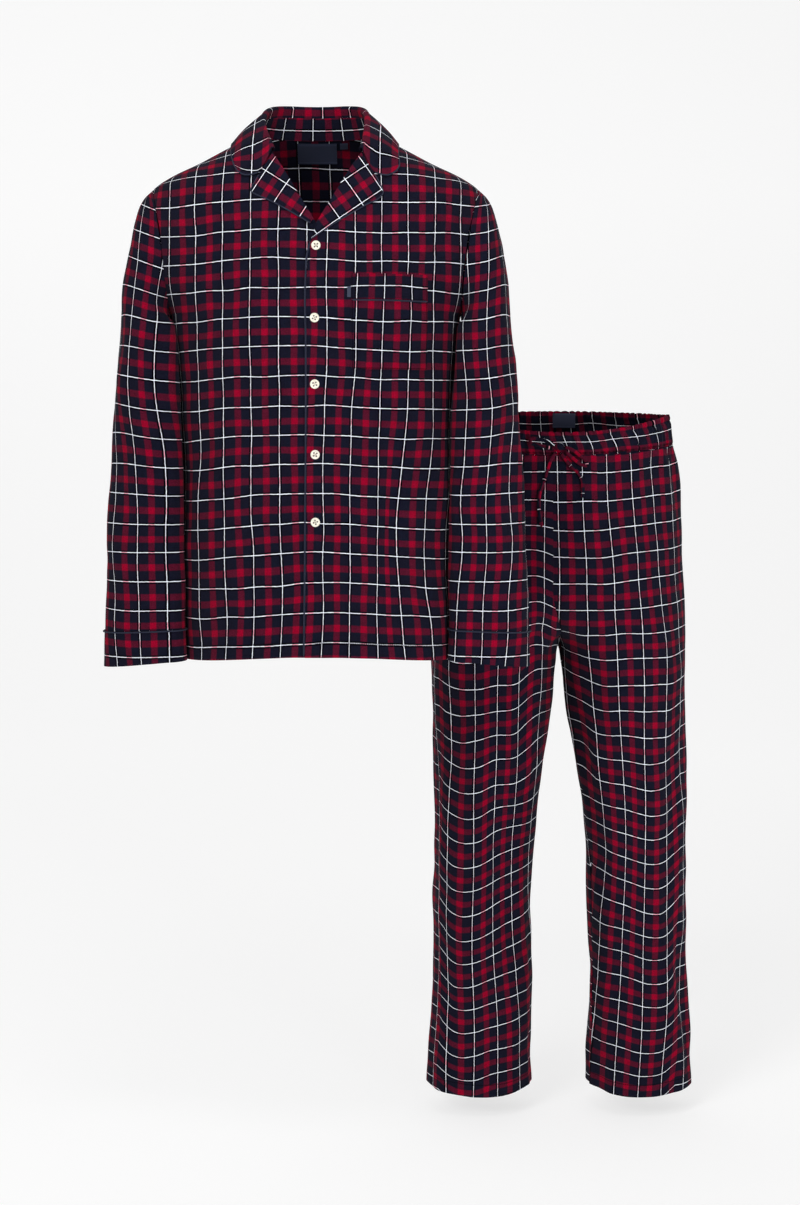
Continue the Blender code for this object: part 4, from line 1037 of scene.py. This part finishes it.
# the leaf's front end and the lapels' edges; a share is in thousandths of the way down
collarEnd = columns("share x down", [(0, 57.5, 31.5), (200, 66.5, 48), (400, 76, 65), (600, 86, 67.5),
                                     (800, 97, 67), (1000, 106, 61)])
lapels = {
    1: columns("share x down", [(0, 77.5, 67), (120, 83.5, 78), (220, 88, 88), (270, 87.5, 92.5),
                                (330, 83, 97.5), (480, 65.5, 107), (1000, -11, 154.5)]),
    -1: columns("share x down", [(0, 76.5, 67), (120, 82, 77), (220, 86.5, 86), (270, 86, 89.5),
                                 (330, 81.5, 92.5), (480, 66, 99.5), (1000, 4, 133.5)]),
}
collarSize = {"lastStation": 11, "sideStation": 5, "foldRadius": 3.0 * mm, "belly": 3.0 * mm,
              "gap": 0.6 * mm, "wall": 1.5 * mm, "piping": 1.0 * mm}
# which rows of the collar's grid are the stand's and the leaf's, and where its notch starts
collarRows = {"standLine": 4, "stand": 8, "leafLine": 15, "fold": 18, "leaf": 30, "notch": 13}
# the collar's check: the leaf's lines along its fold, how far they lean per metre down, the
# x of a pale line on each front end; and the stand's own lines
collarCheck = {"lines": (-270, -225, -193, -137, -84, -36.5, 7.5, 51.5, 103, 154.5, 202, 247, 290),
               "lean": 0.35, "down": 38 * mm, "top": -12.7 * mm, "endLine": {1: 84 * mm, -1: 86.5 * mm},
               "standLine": -6.5 * mm, "standAcross": 42.5 * mm, "standRow": 14 * mm}


def bodyAt(x, down, back, lift):
    # a point on the smooth body, on its back or its front, moved out by lift, and its normal
    depth = np.where(back, look(torso, "back", down), look(torso, "front", down))
    angle = np.where(back, 1, -1) * angleAt(x, bodyHalf(down, depth))
    out = facingOut(shirtBase, angle, down)
    return shirtBase(angle, down) + lift * out, out


def collarHalf(side):
    # each station's line runs from the neck seam up the stand, over the fold and down the
    # leaf to its edge; made at +X and mirrored for side -1
    size = collarSize
    last = size["lastStation"]
    station = np.linspace(0, last, 100)
    back = station <= size["sideStation"]
    part = lookAll(collar, station * mm)
    shift = side * shirt["neckShift"] * ease(part["seamDown"] / shirt["rollStart"])
    ahead = ease((station - size["sideStation"]) / (last - size["sideStation"]))[:, None]
    seam, bodyOut = bodyAt(part["seamX"] + shift, np.maximum(part["seamDown"], 0), back, -shirt["cloth"])
    flatOut = unit(bodyOut * np.array([1, 1, 0]))
    out = unit(flatOut + ahead * (bodyOut - flatOut))
    fold = np.stack([part["foldX"] + shift, part["foldY"], part["foldZ"]], -1)
    tip = unit(np.cross(unit(np.gradient(fold, axis=0)), out))
    seam = seam + size["gap"] * tip
    edge = bodyAt(part["edgeX"] + shift, part["edgeDown"], back, shirt["onTop"])[0]
    radius = size["foldRadius"] - 0.6 * mm * ahead
    behind = fold - radius * (out + tip)
    before = fold + radius * (out - tip)
    # the first shares are the stand's, and the next ones the leaf's under side
    profile = [seam + s * (behind - seam) for s in [*np.linspace(0, 0.72, 8), 0.7245, 0.81, 0.9]]
    for turn in np.linspace(0, math.pi, 9)[:-1]:
        profile.append(fold - radius * tip - radius * (math.cos(turn) * out - math.sin(turn) * tip))
    nearEnd = ease((station - (last - 2.5)) / 2.5)[:, None]
    for share in np.linspace(0, 1, collarRows["leaf"]):
        straight = before + share * (edge - before)
        belly = math.sin(math.pi * share) * size["belly"] * out * (1 - nearEnd)
        endX = look(collarEnd, "x", share) + shift[-1:]
        end = bodyAt(endX, look(collarEnd, "down", share), np.array([False]), shirt["onTop"])[0]
        end = end + (1 - share) ** 4 * (before[-1] - end)
        profile.append(straight + belly + nearEnd * (end - straight[-1]))
    return np.stack(profile, 1) * np.array([side, 1, 1])


def collarUv(face):
    # u counts lines along the fold, v rows from it; the grain turns a little towards the front
    # ends, and the stand is a piece of its own
    check = collarCheck
    middle = face.shape[1] // 2

    def fromMiddle(row):
        along = runningLength(face[row:row + 1], 1)
        return along - along[:, middle, None]

    height = runningLength(face, 0)
    down = height - height[collarRows["fold"]]
    along = np.repeat(fromMiddle(collarRows["leafLine"]), len(face), 0)
    turning = np.sign(along) * ease((np.abs(along) - 90 * mm) / (70 * mm)) * np.maximum(down, 0)
    lines = np.array(check["lines"]) * mm
    u = np.interp(along + turning * check["lean"], lines, np.arange(len(lines)) - len(lines) // 2)
    station = np.linspace(-collarSize["lastStation"], collarSize["lastStation"], face.shape[1])
    own = runningLength(face, 1)
    for first, last in ((-7, -2.5), (2.5, 7)):  # over the shoulders each row's own length spreads them
        zone = slice(*np.searchsorted(station, (first, last)))
        span = own[:, zone] - own[:, zone][:, :1]
        even = u[:, zone][:, :1] + (u[:, zone][:, -1:] - u[:, zone][:, :1]) * span / span[:, -1:]
        u[:, zone] = u[:, zone] + ease(down[:, zone] / (15 * mm)) * (even - u[:, zone])
    v = (down - check["top"]) / check["down"] + flannel["redMiddle"]
    x = face[..., 0] - shirt["neckShift"]
    endLine = np.where(x > 0, check["endLine"][1], check["endLine"][-1])
    v = v + ease((np.abs(station) - 3.5) / 3) * (1 + (np.abs(x) - endLine) / check["down"] - v)
    stand = (np.arange(len(face)) < collarRows["stand"])[:, None]
    standU = (fromMiddle(collarRows["standLine"]) - check["standLine"]) / check["standAcross"]
    u = np.where(stand, standU, u)
    v = np.where(stand, (height - check["standRow"]) / check["down"], v)
    wave = ripples(along, down, 51, 70 * mm, 1.5) * 0.35 * mm * ease(down / (20 * mm))
    return np.stack([u, v], -1), wave


def makeCollar():
    # both halves in one grid, moved out by a slow wave along their normals
    face = np.concatenate([collarHalf(-1)[::-1], collarHalf(1)[1:]]).transpose(1, 0, 2)
    out = unit(np.cross(np.gradient(face, axis=0), np.gradient(face, axis=1)))
    uv, wave = collarUv(face)
    face = face + wave[..., None] * out
    clothPiece("collar", "collar", face, out, {"cloth": uv}, collarSize["wall"], held="folded",
               restsOn=["shirt_back"])
    # piping round the leaf from notch to notch, at the middle of its wall
    leaf = (face - 0.5 * collarSize["wall"] * out)[len(face) - collarRows["leaf"] + collarRows["notch"]:]
    edge = np.concatenate([leaf[:, 0], leaf[-1, 1:-1], leaf[::-1, -1]])
    tubePiece("collarPiping", None, smoothPath(edge[::2], 320), collarSize["piping"])


def lapelPoint(side, share, across):
    # share runs down the roll line and across runs from it to the lapel's edge
    last = shirt["rollBreak"] + (22 if side > 0 else -4) * mm
    start = shirt["rollStart"] + 3 * mm
    down = start + share * (last - start)
    roll = innerEdge(side, down)
    x = roll + across * (side * look(lapels[side], "x", share) + shirt["neckShift"] - roll)
    return x, down + across * (look(lapels[side], "down", share) - down)


# the grain's turn on each lapel, where its first lines lie and the rows' spacing
lapelCheck = {1: {"turn": 55, "line": 9.3 * mm, "row": 7 * mm, "down": 36 * mm, "above": 32.4 * mm},
              -1: {"turn": -57, "line": 28 * mm, "row": 14.5 * mm, "down": 38.5 * mm, "above": 33 * mm}}


def makeLapels():
    # a lapel lies on the front's cloth, puffed by half a sine wave each way
    end = 0.97  # the share of the roll line at which a lapel's point ends
    for side, name in bothSides:
        share, across = np.meshgrid(np.linspace(0, end, 60), np.linspace(0, 1, 32), indexing="ij")
        x, down = lapelPoint(side, share, across)
        puff = 1.2 * mm * np.sin(math.pi * across) * np.sin(math.pi * share)
        face, out = shirtPoint(bodyAngle(x, down), down, shirt["onTop"] + puff)
        check = lapelCheck[side]
        turn = math.radians(check["turn"])
        u = (x * math.cos(turn) + down * math.sin(turn) - check["line"]) / (38 * mm)
        v = down * math.cos(turn) - x * math.sin(turn) - check["row"]
        v = v / np.where(v < 0, check["above"], check["down"])
        clothPiece("lapel" + name, nodeName("lapel", name), face, out, {"cloth": np.stack([u, v], -1)},
                   shirt["cloth"], held="folded", restsOn=[nodeName("shirt_front", name)])
        share = np.linspace(0, end, 120)
        x, down = lapelPoint(side, share, np.ones(share.shape))
        path = shirtPoint(bodyAngle(x, down), down, shirt["onTop"] - 0.5 * shirt["cloth"])[0]
        tubePiece("lapelPiping" + name, None, path, collarSize["piping"])


makeCollar()
makeLapels()
print("collar and lapels made")

pocket = {"left": 51 * mm, "right": 153 * mm, "top": 198 * mm, "bottom": 325 * mm, "band": 35 * mm,
          "billow": 1.6 * mm, "piping": 1.0 * mm, "tab": (46, 50.7, 215, 229)}


def boxGrid(box, width, height):
    # x and the distance down over a box, and plain UV over the same grid
    left, right, top, bottom = box
    uv = np.stack(np.meshgrid(np.linspace(0, 1, width), np.linspace(0, 1, height)), -1)
    return left + (right - left) * uv[..., 0], top + (bottom - top) * uv[..., 1], uv


def makePocket():
    # a band and a bag on the left front, piping between them and a tab in the side seam
    p = pocket
    seam = p["top"] + p["band"]

    def billow(x, down):
        # a pocket stands off a little between its sewn edges
        across = np.sin(math.pi * np.clip((x - p["left"]) / (p["right"] - p["left"]), 0, 1))
        along = np.clip((p["bottom"] - down) / (p["bottom"] - p["top"]), 0, 1)
        return p["billow"] * across * ease(along * 2)

    def bandShift(x, down):
        # the band's check misses the front's, more towards the sleeve
        share = (x - p["left"]) / (p["right"] - p["left"])
        return -0.07 - 0.08 * share, 0.03 + 0.05 * share

    def pocketShift(x, down):
        return 0.085 * ease((down - seam) / (p["bottom"] - seam)) - 0.085, -0.02 + 0 * x

    for name, node, top, bottom, height, shift, stitch in (
            ("pocketBand", "pocket_band", p["top"], seam - shirt["gap"], 26, bandShift, 1.2 * mm),
            ("chestPocket", "chest_pocket", seam + shirt["gap"], p["bottom"], 64, pocketShift, 1.6 * mm)):
        x, down, uv = boxGrid((p["left"], p["right"], top, bottom), 72, height)
        outer, out = shirtPoint(bodyAngle(x, down), down, shirt["layer"] + billow(x, down))
        uv = frontUv(x, down, 1) + np.stack(shift(x, down), -1)
        # a dark row of stitching inside each edge but the top one, which also paints the shade along those
        # edges
        inside = np.minimum(np.minimum(x - p["left"], p["right"] - x), bottom - down)
        edge = np.stack([1 + inside - stitch, x + down], -1)
        clothPiece(name, node, outer, out, {"cloth": uv, "edge": edge}, shirt["cloth"], held="draped",
                   restsOn=["shirt_front_left"])
    x = np.linspace(p["left"] + mm, p["right"] - mm, 60)
    down = np.full(60, seam)
    lift = shirt["layer"] + shirt["gap"] + p["piping"] + billow(x, down)
    tubePiece("pocketPiping", "pocket_piping", shirtPoint(bodyAngle(x, down), down, lift)[0], p["piping"])
    x, down, uv = boxGrid(np.array(p["tab"]) * mm, 8, 18)
    outer, out = shirtPoint(bodyAngle(x, down), down, 1.4 * mm)
    clothPiece("pocketTab", "pocket_tab", outer, out, {"cloth": uv}, 1.0 * mm, "label")


buttons = {"places": ((4.6, 161), (2.6, 256.5), (2.6, 345.5), (2.6, 442.5), (2.6, 536.5)),
           "spins": (0, 24, -13, 8, 31), "radius": 6.2 * mm, "height": 2.6 * mm, "floor": 0.67,
           "holeSpread": 1.85 * mm, "holeRadius": 1.1 * mm, "holeDepth": 1.5 * mm, "thread": 0.34 * mm}
# radius and height as shares, from the middle of the back round to the middle of the face
buttonProfile = columns("step radius height", [
    (0, 0, 0), (1, 0.5, 0), (2, 0.86, 0.0), (3, 0.97, 0.14), (4, 1, 0.4), (5, 0.98, 0.78),
    (6, 0.9, 0.98), (7, 0.8, 0.94), (8, 0.7, 0.74), (9, 0.45, 0.68), (10, 0.2, 0.67), (11, 0, 0.67)], 1)


def makeButtons():
    # a turned profile with four dimples that look like holes
    b = buttons
    spread = b["holeSpread"]
    around = 64
    steps = np.concatenate([np.linspace(0.4, 8, 26), np.linspace(8.15, 10.9, 34)])[:, None]
    turn = np.linspace(0, 2 * math.pi, around, endpoint=False)
    across = look(buttonProfile, "radius", steps) * b["radius"] * np.cos(turn)
    up = look(buttonProfile, "radius", steps) * b["radius"] * np.sin(turn)
    height = look(buttonProfile, "height", steps) * b["height"] + 0 * turn
    top = steps > 7
    nearest = np.full(across.shape, 9.0)
    for holeX, holeZ in ((-1, -1), (-1, 1), (1, -1), (1, 1)):
        away = np.hypot(across - holeX * spread, up - holeZ * spread) / b["holeRadius"]
        height -= top * b["holeDepth"] * ease(1.5 - away)
        nearest = np.where(top, np.minimum(nearest, away), nearest)
    # each corner's distance from the nearest hole, in hole radii, goes in the UV for the holes' painted shade
    hole = np.stack([nearest, nearest], -1).reshape(-1, 2)
    index = closeRing(np.arange(nearest.size).reshape(nearest.shape))
    faces = gridFaces(index).tolist() + [index[0, :-1].tolist(), index[-1, :-1][::-1].tolist()]
    uvs = {"cloth": hole[[corner for face in faces for corner in face]]}
    for number, (place, spin) in enumerate(zip(b["places"], b["spins"]), 1):
        x, down = np.array(place)[:, None] * mm
        seat, out = shirtPoint(bodyAngle(x, down), down, shirt["gap"])
        seat, out = seat[0], out[0]
        level = unit(np.cross(out, [0, 0, 1]))
        upright = np.cross(level, out)
        spin = math.radians(spin)
        side = level * math.cos(spin) + upright * math.sin(spin)
        high = upright * math.cos(spin) - level * math.sin(spin)
        points = seat + across[..., None] * side + up[..., None] * high + height[..., None] * out
        addPiece(f"button{number}", f"button_{number}", points, faces, uvs, "button")
        # two stitches of thread cross between the holes
        for k, lean in enumerate((-1, 1)):
            ends = np.linspace(-1, 1, 12)
            lift = b["height"] * b["floor"] + (0.35 + 0.3 * k) * mm - 0.9 * mm * ends ** 4
            path = seat + (ends * spread)[:, None] * (side + lean * high) + lift[:, None] * out
            tubePiece(f"buttonThread{number}{'ab'[k]}", None, path, b["thread"], "button", "thread", around=6)


def makeFrontPiping():
    # a cord just past the left front's edge
    down = np.concatenate([np.linspace(156, 200, 20), np.linspace(205, 723, 120)]) * mm
    x = innerEdge(1, down) - shirt["gap"] - 1.0 * mm
    path = shirtPoint(bodyAngle(x, down), down, 0.5 * mm)[0]
    tubePiece("frontPiping", "front_piping", path, 1.15 * mm)


labels = {"wall": 0.6 * mm, "lift": 0.8 * mm, "neck": (-29, 27, 2, 28), "size": (32, 43, 2, 9),
          "waist": (-2, 34, 3, 27), "waistInside": 4.4 * mm}


def makeNeckLabels():
    # flat tapes inside the neck of the shirt's back
    for name, node, box in (("neckLabel", "neck_label", "neck"), ("sizeTab", "size_tab", "size")):
        x, down, uv = boxGrid(np.array(labels[box]) * mm, 30, 14)
        outer, out = shirtPoint(bodyAngle(x, down, "back"), down, -shirt["cloth"] - labels["lift"])
        clothPiece(name, node, outer, out, {"cloth": uv}, labels["wall"], "label")


makePocket()
makeButtons()
makeFrontPiping()
makeNeckLabels()
print("pocket, buttons, piping and labels made")

# small folds: angle, drop, half length, half width in degrees, out, lean per metre
legCreases = {
    1: ((-100, 250, 120, 8, 1.6, 20), (-60, 300, 140, 7, -1.6, -30), (-80, 560, 150, 7, 1.8, 20),
        (-130, 480, 130, 7, 1.6, -30), (-105, 860, 120, 8, 1.8, 40), (-60, 800, 110, 7, -1.6, 30),
        (-40, 560, 150, 7, 1.5, 10), (60, 420, 160, 9, 2.0, 15), (110, 760, 160, 9, 1.8, -20)),
    -1: ((-100, 480, 150, 7, 1.8, 30), (-60, 560, 130, 7, -1.6, -20), (-85, 820, 130, 7, 1.8, 20),
         (-125, 700, 140, 7, 1.6, -30), (-50, 930, 90, 8, 1.6, 30), (-140, 420, 110, 7, 1.6, 30),
         (-100, 260, 110, 8, 1.4, 20), (75, 420, 160, 9, 2.0, 15), (105, 820, 160, 9, 1.8, -20)),
}
legLines = {
    1: columns("drop line inward outward", [
        (50, 100, 37, 38), (137, 103.3, 37.5, 38), (211, 111, 39.5, 38), (291, 114, 40, 39),
        (382, 121, 39, 39), (520, 124, 33, 38), (661, 128.5, 29, 38), (803, 130, 32.5, 38),
        (946, 128.5, 36, 38), (1052, 125, 36, 38)]),
    -1: columns("drop line inward outward", [
        (50, 129, 34, 38), (300, 129, 33, 42), (382, 130.5, 34, 44.5), (520, 130.5, 32.5, 43.5),
        (661, 131.5, 29.5, 44), (803, 131.5, 31.5, 45), (946, 129.5, 36, 43), (1052, 130, 38, 42)]),
}
rowSpacing = columns("drop down", [(0, 41), (160, 42), (225, 40.4), (520, 40.2), (620, 39.2), (700, 38.1),
                                   (800, 37.7), (880, 37.2), (960, 37), (1010, 37.5), (1052, 38)])
# how much lower the rows lie at seven distances out from the middle of the front
legKnots = {1: (12, 31, 54, 95, 140, 165, 186), -1: (12, 38, 64, 101, 129, 165, 182)}
legRows = {
    1: columns("drop inseam fork inner middle ridge side outer", [
        (50, 8, 8, 9, 6, 0, -1, -7), (137, 8, 8, 9, 4.5, 0, -3, -9), (211, 7, 7, 7, 1.3, 0, -2, -6),
        (291, 4, 5, 5.5, 0.5, 0, -1, -5), (350, -4, 2, 4, -0.5, 0, -1, -6), (390, -17, -8, 1, -1.5, 0, 0, -7),
        (430, -20, -13, -1, -2.5, 0, 0, -9), (470, -22, -17, -3.5, -4, 0, 0, -11),
        (510, -31, -26, -8, -4, 0, -3, -16), (550, -33, -28, -13, -6, 0, -4, -17),
        (590, -28, -25, -18, -9, 0, -3, -17), (630, -30, -28, -24, -11, 0, -4, -20),
        (710, -32, -30, -27, -14, 0, -2, -20), (800, -24, -22, -18, -13, 0, -2, -16),
        (870, -21, -19, -15.5, -12, 0, -2, -16), (945, -18, -16, -13.5, -9.5, 0, -3, -18),
        (1015, -14, -12, -11, -6, 0, -4, -20)]),
    -1: columns("drop inseam fork inner middle ridge side outer", [
        (50, 9, 9, 9, 9, 9, 9, 5), (120, 9, 5, 5, 5, 5, 5, 0), (200, 6, -3, -4, 0, 3, 3, -3),
        (283, 3, -10, -7, -2, 4, 3, -5), (350, -12, -20, -8, -1, 5, 4, -5), (395, -22, -25, -4, 0, 6, 5, -4),
        (435, -28, -27, -6, -1, 6, 6, -3), (475, -35, -29, -8, -3, 5, 7, -5),
        (515, -37, -28, -11, -7, 5, 5, -9), (555, -36, -24, -10, -7, 5, 5, -10),
        (595, -38, -21, -15, -10, 5, 2, -12), (675, -38, -30, -24, -12, 3, 3, -14),
        (715, -38, -34, -26, -11, 3, 2, -15),
        (800, -38, -30, -22, -10, 3, 3, -14), (870, -34, -25, -18, -9, 4, 3, -13),
        (945, -27, -18, -13, -6, 5, 3, -14), (1015, -22, -13, -8, -3, 6, 3, -12)]),
}
legCheck = {"firstRow": 77.4 * mm, "backRow": {1: -24 * mm, -1: -27 * mm}, "backLine": 38 * mm,
            "pastLine": 34 * mm, "stitch": 1032 * mm, "centre": -17 * mm}


def gatherWave(angle):
    # the casing's gathers, spaced unevenly
    wander = 0.35 * np.sin(3 * angle + 1) + 0.25 * np.sin(7 * angle + 2.2) + 0.2 * np.sin(13 * angle)
    return np.cos(trousers["gathers"] * angle + 4 * wander) * (0.8 + 0.3 * np.sin(5 * angle + 0.6))


def trouserPuckers(side, angle, drop):
    # gathers below the casing, long soft creases, and a slow unevenness
    folds = [(f[0], f[1] * mm, f[2] * mm, *f[3:]) for f in legCreases[side]]
    crease = foldSum(folds, legDegrees(side, angle), drop)
    world = np.where(side < 0, math.pi - angle, angle)
    below = np.maximum(drop - trousers["casing"], 0)
    soon, late = np.exp(-below / (30 * mm)), np.exp(-below / (110 * mm)) - np.exp(-below / (14 * mm))
    gather = gatherWave(world) * 1.5 * mm * soon + ripples(world, 0 * world, 64, 0.32, 9) * 1.6 * mm * late
    slow = ripples(world * 0.12, drop, 61 + side, 100 * mm, 2.2) * 1.8 * mm * ease((drop - 0.1) / 0.15)
    quick = ripples(world * 0.12, drop, 65 + side, 44 * mm, 1.8) * 0.6 * mm
    return crease + gather + slow + quick


def centreAngle(drop, side, face):
    # the seam down the middle lies a little to the wearer's right, and meets the fork; the two
    # sides overlap there by a hair, so that no light shows between them
    outer = look(legs, "outer", drop)
    inner = look(legs, "inner", drop)
    aside = legCheck["centre"] * (1 - ease((drop - 0.26) / 0.08)) * (face < 0)
    return face * angleAt(side * aside - trousers["overlap"] - (outer + inner) / 2, (outer - inner) / 2)


def rowCount(drop):
    # how many rows of the check lie above a drop: the sum of the steps over their spacing
    steps = np.linspace(-0.06, 1.12, 400)
    counts = np.cumsum(1 / look(rowSpacing, "down", steps)) * (steps[1] - steps[0])
    return np.interp(drop, steps, counts) - np.interp(legCheck["firstRow"], steps, counts)


def trouserUv(face, side, panel):
    # across is counted from the leg's own line, along the cloth; down from a row's drop
    x = side * (face[..., 0] - trousers["x"])
    drop = trousers["z"] - face[..., 2]
    if panel == "back":
        across = runningLength(face, 1, (1, 0.8, 0))
        return np.stack([across / legCheck["backLine"], rowCount(drop - legCheck["backRow"][side])], -1)
    lines = legLines[side]
    fromLine = x - look(lines, "line", drop)
    near = np.arange(len(x))
    first = np.argmax(fromLine <= 0, axis=1)
    start, end = fromLine[near, first - 1], fromLine[near, first]
    share = start / (start - end)

    def pastLine(weights):
        # lengths along the rows from where they cross the leg's line
        lengths = runningLength(face, 1, weights)
        start, end = lengths[near, first - 1], lengths[near, first]
        return lengths - (start + share * (end - start))[:, None]

    out = pastLine((1, 0.9, 0))
    wide = look(lines, "outward", drop)
    out = np.where(out < wide, out / wide, 1 + (out - wide) / legCheck["pastLine"])
    u = np.where(fromLine > 0, out, pastLine((1, 0.25, 0)) / look(lines, "inward", drop))
    u = u + ripples(x, drop, 71 + side, 150 * mm, 1.6) * 0.025
    names = ("inseam", "fork", "inner", "middle", "ridge", "side", "outer")
    rows = np.stack([look(legRows[side], name, drop) for name in names])
    lower = lookAcross(rows, np.array(legKnots[side]) * mm, x)
    lower = lower + ripples(x, drop, 73 + side, 110 * mm) * 1.2 * mm
    return np.stack([u, rowCount(drop - lower)], -1)


def makeTrousers():
    # four panels, each between a line of angles at the outseam and one at the middle or the inseam
    t = trousers
    fork, joined = t["fork"]
    rows = (np.linspace(t["casing"] + 3 * t["gap"], fork, 70), np.linspace(fork, joined, 44)[1:],
            np.linspace(joined, t["length"], 180)[1:])
    rows = np.concatenate(rows)
    nudge = math.radians(0.12)  # the gap between the panels at the seams of each leg
    share = np.linspace(0, 1, 84)
    # above the fork the two sides meet edge to edge, without puckers at the seam
    below = ease((rows - 0.29) / 0.04)
    calm = 1 - (1 - ease((1 - share) / 0.06)) * (1 - below)[:, None]
    for side, name in bothSides:
        turn = np.radians(np.interp(rows, twist["drop"] * mm, twist[name.lower()])) * side
        for way, panel, other in ((-1, "front", "back"), (1, "back", "front")):
            centre = centreAngle(rows, side, way) - way * nudge * below + turn
            outseam = way * nudge + turn
            angle = outseam[:, None] + (centre - outseam)[:, None] * share
            drop = np.repeat(rows[:, None], len(share), 1)
            face = trouserFace(side, angle, drop)
            out = side * facingOut(lambda a, b: trouserFace(side, a, b), angle, drop)
            outer = face + (calm * trouserPuckers(side, angle, drop))[..., None] * out
            edge = np.stack([1 + drop - legCheck["stitch"], runningLength(face, 1, (1, 1, 0))], -1)
            node = nodeName("trouser_" + panel, name)
            clothPiece("trouser" + panel.capitalize() + name, node, outer, out,
                       {"cloth": trouserUv(face, side, panel), "edge": edge}, t["cloth"], held="gathered",
                       restsOn=[node.replace(panel, other)])


casing = {"line": -1.4 * mm, "across": 36 * mm, "row": 20.5 * mm, "down": 38 * mm, "fineGathers": 96,
          "fineDepth": 1.6 * mm, "seam": 42.5 * mm, "wall": 2.0 * mm}


def casingPoint(angle, drop):
    # the gathered casing: a ring that waves in and out, with a bulge between its rows of stitching
    t = trousers
    share = np.clip(drop / t["casing"], 0, 1)
    wave = gatherWave(angle) * t["gatherDepth"] * (0.55 + 0.45 * share)
    bulge = t["gatherDepth"] * np.sin(math.pi * share)
    groove = 1.6 * mm * bell((share - 0.2) / 0.05) + 1.2 * mm * bell((share - 0.97) / 0.05)
    # the fine gathers lean a little and are sharpest at the edge and at each row of stitching
    wander = 0.5 * np.sin(4 * angle + 0.4) + 0.35 * np.sin(11 * angle + 1.3)
    wander = wander + 0.3 * np.sin(23 * angle + 3 * share)
    fine = np.abs(np.sin(casing["fineGathers"] / 2 * angle + 1.6 * wander + 0.7 * share)) * 2 - 1.3
    sharp = 0.45 + 0.55 * np.maximum(bell((share - 0.16) / 0.14), bell((share - 1) / 0.3))
    fine = fine * (0.75 + 0.35 * np.sin(9 * angle + 2)) * sharp * casing["fineDepth"]
    point = trouserFace(1, angle, drop)
    point[..., 2] += 0.9 * fine * bell(share / 0.12)
    away = np.stack([np.cos(angle), np.sin(angle), 0 * angle], -1)
    return point + (wave + fine + bulge - groove)[..., None] * away, away


def makeWaistband():
    # the casing is one closed wall, with a broken dark line under it: its seam's stitching, drawn as slanting
    # dashes of painted shade from the gathers
    height = trousers["casing"]
    turn = np.linspace(math.pi / 2, 2.5 * math.pi, 1000, endpoint=False)
    angle, drop = np.meshgrid(turn, np.linspace(0, height, 26))
    outer, away = casingPoint(angle, drop)
    around = np.append(turn, turn[0] + 2 * math.pi)
    middleRing = trouserFace(1, around, np.full(around.shape, 20 * mm))
    across = runningLength(middleRing[None], 1, (1, 0.6, 0))
    across = np.repeat(across - across[:, len(turn) // 2, None], len(drop), 0)
    drop = closeRing(drop)
    lean = np.sin(around) * np.where(np.sin(around) < 0, 0.25, 0.1)
    u = (across - casing["line"]) / casing["across"] + lean * ease(drop / height)
    v = (drop - casing["row"]) / casing["down"] + ripples(across, 0 * across, 75, 90 * mm) * 0.03
    # the seam below the gathers shows as a broken dark line; its row is widened and its dashes slant, so that
    # they paint the gathers' shade
    edge = np.stack([1 + (drop - casing["seam"]) * 0.4, across / 3 - drop * 0.06], -1)
    clothPiece("waistband", "waistband", outer, away, {"cloth": np.stack([u, v], -1), "edge": edge},
               casing["wall"], held="gathered", closed=True,
               restsOn=["trouser_front_left", "trouser_back_left"])


def makeWaistLabel():
    # a flat tape inside the back of the waist
    x, drop, uv = boxGrid(np.array(labels["waist"]) * mm, 24, 12)
    angle = angleAt(x, look(legs, "outer", drop))
    out = facingOut(lambda a, b: trouserFace(1, a, b), angle, drop)
    face = trouserFace(1, angle, drop) - labels["waistInside"] * out
    clothPiece("waistLabel", "waist_label", face, out, {"cloth": uv}, labels["wall"], "label")


makeTrousers()
makeWaistband()
makeWaistLabel()
print("trousers made")

studio = {"paper": (0.40, 0.40, 0.40, 1), "glow": 0.665, "floorZ": -1.47, "sky": 0.42, "front": -6,
          "bendStart": 3.5, "bend": 2.0, "top": 7.0, "halfWidth": 7.0}
lamps = {  # place, what it shines at, width and height in metres, watts, spread in degrees
    "keyLight": ((-1.9, -3.0, 1.4), (0.12, 0, -0.7), (1.4, 1.4), 54, 180),
    "fillLight": ((2.0, -3.2, -1.1), (0.46, 0.12, -0.8), (1.2, 1.4), 8, 50),
    "neckLight": ((0.0, -0.75, 0.75), (0.0, 0.08, -0.06), (0.5, 0.3), 6, 180),
}


def makeStage():
    # a floor that turns up through a quarter circle into a backdrop, far behind
    s = studio
    angle = np.linspace(0, math.pi / 2, 24)
    y = [s["front"], *(s["bendStart"] + s["bend"] * np.sin(angle)), s["bendStart"] + s["bend"]]
    z = [0, *(s["bend"] - s["bend"] * np.cos(angle)), s["top"]]
    x, y = np.meshgrid((-s["halfWidth"], s["halfWidth"]), y)
    points = np.stack([x, y, np.array(z)[:, None] + s["floorZ"] + 0 * x], -1)
    index = np.arange(y.size).reshape(y.shape)
    paper = Finish("studioPaper", Roughness=1.0, Specular_IOR_Level=0.0, Base_Color=s["paper"],
                   Emission_Color=(1, 1, 1, 1), Emission_Strength=s["glow"])
    addMesh("studioFloor", points, gridFaces(index).tolist(), paper.material)


def makeLights():
    # an even white sky and three soft lamps
    scene.world = bpy.data.worlds.new("studioLight")
    scene.world.use_nodes = True
    background = scene.world.node_tree.nodes["Background"]
    background.inputs["Color"].default_value = (1, 1, 1, 1)
    background.inputs["Strength"].default_value = studio["sky"]
    for name, (place, target, size, power, spread) in lamps.items():
        lamp = bpy.data.lights.new(name, "AREA")
        lamp.shape = "RECTANGLE"
        lamp.size, lamp.size_y = size
        lamp.energy = power
        lamp.spread = math.radians(spread)
        holder = bpy.data.objects.new(name, lamp)
        holder.location = place
        x, y, z = np.array(target) - np.array(place)
        holder.rotation_euler = (math.acos(-z / math.hypot(x, y, z)), 0, math.atan2(-x, y))
        scene.collection.objects.link(holder)


makeStage()
makeLights()
print("stage made")
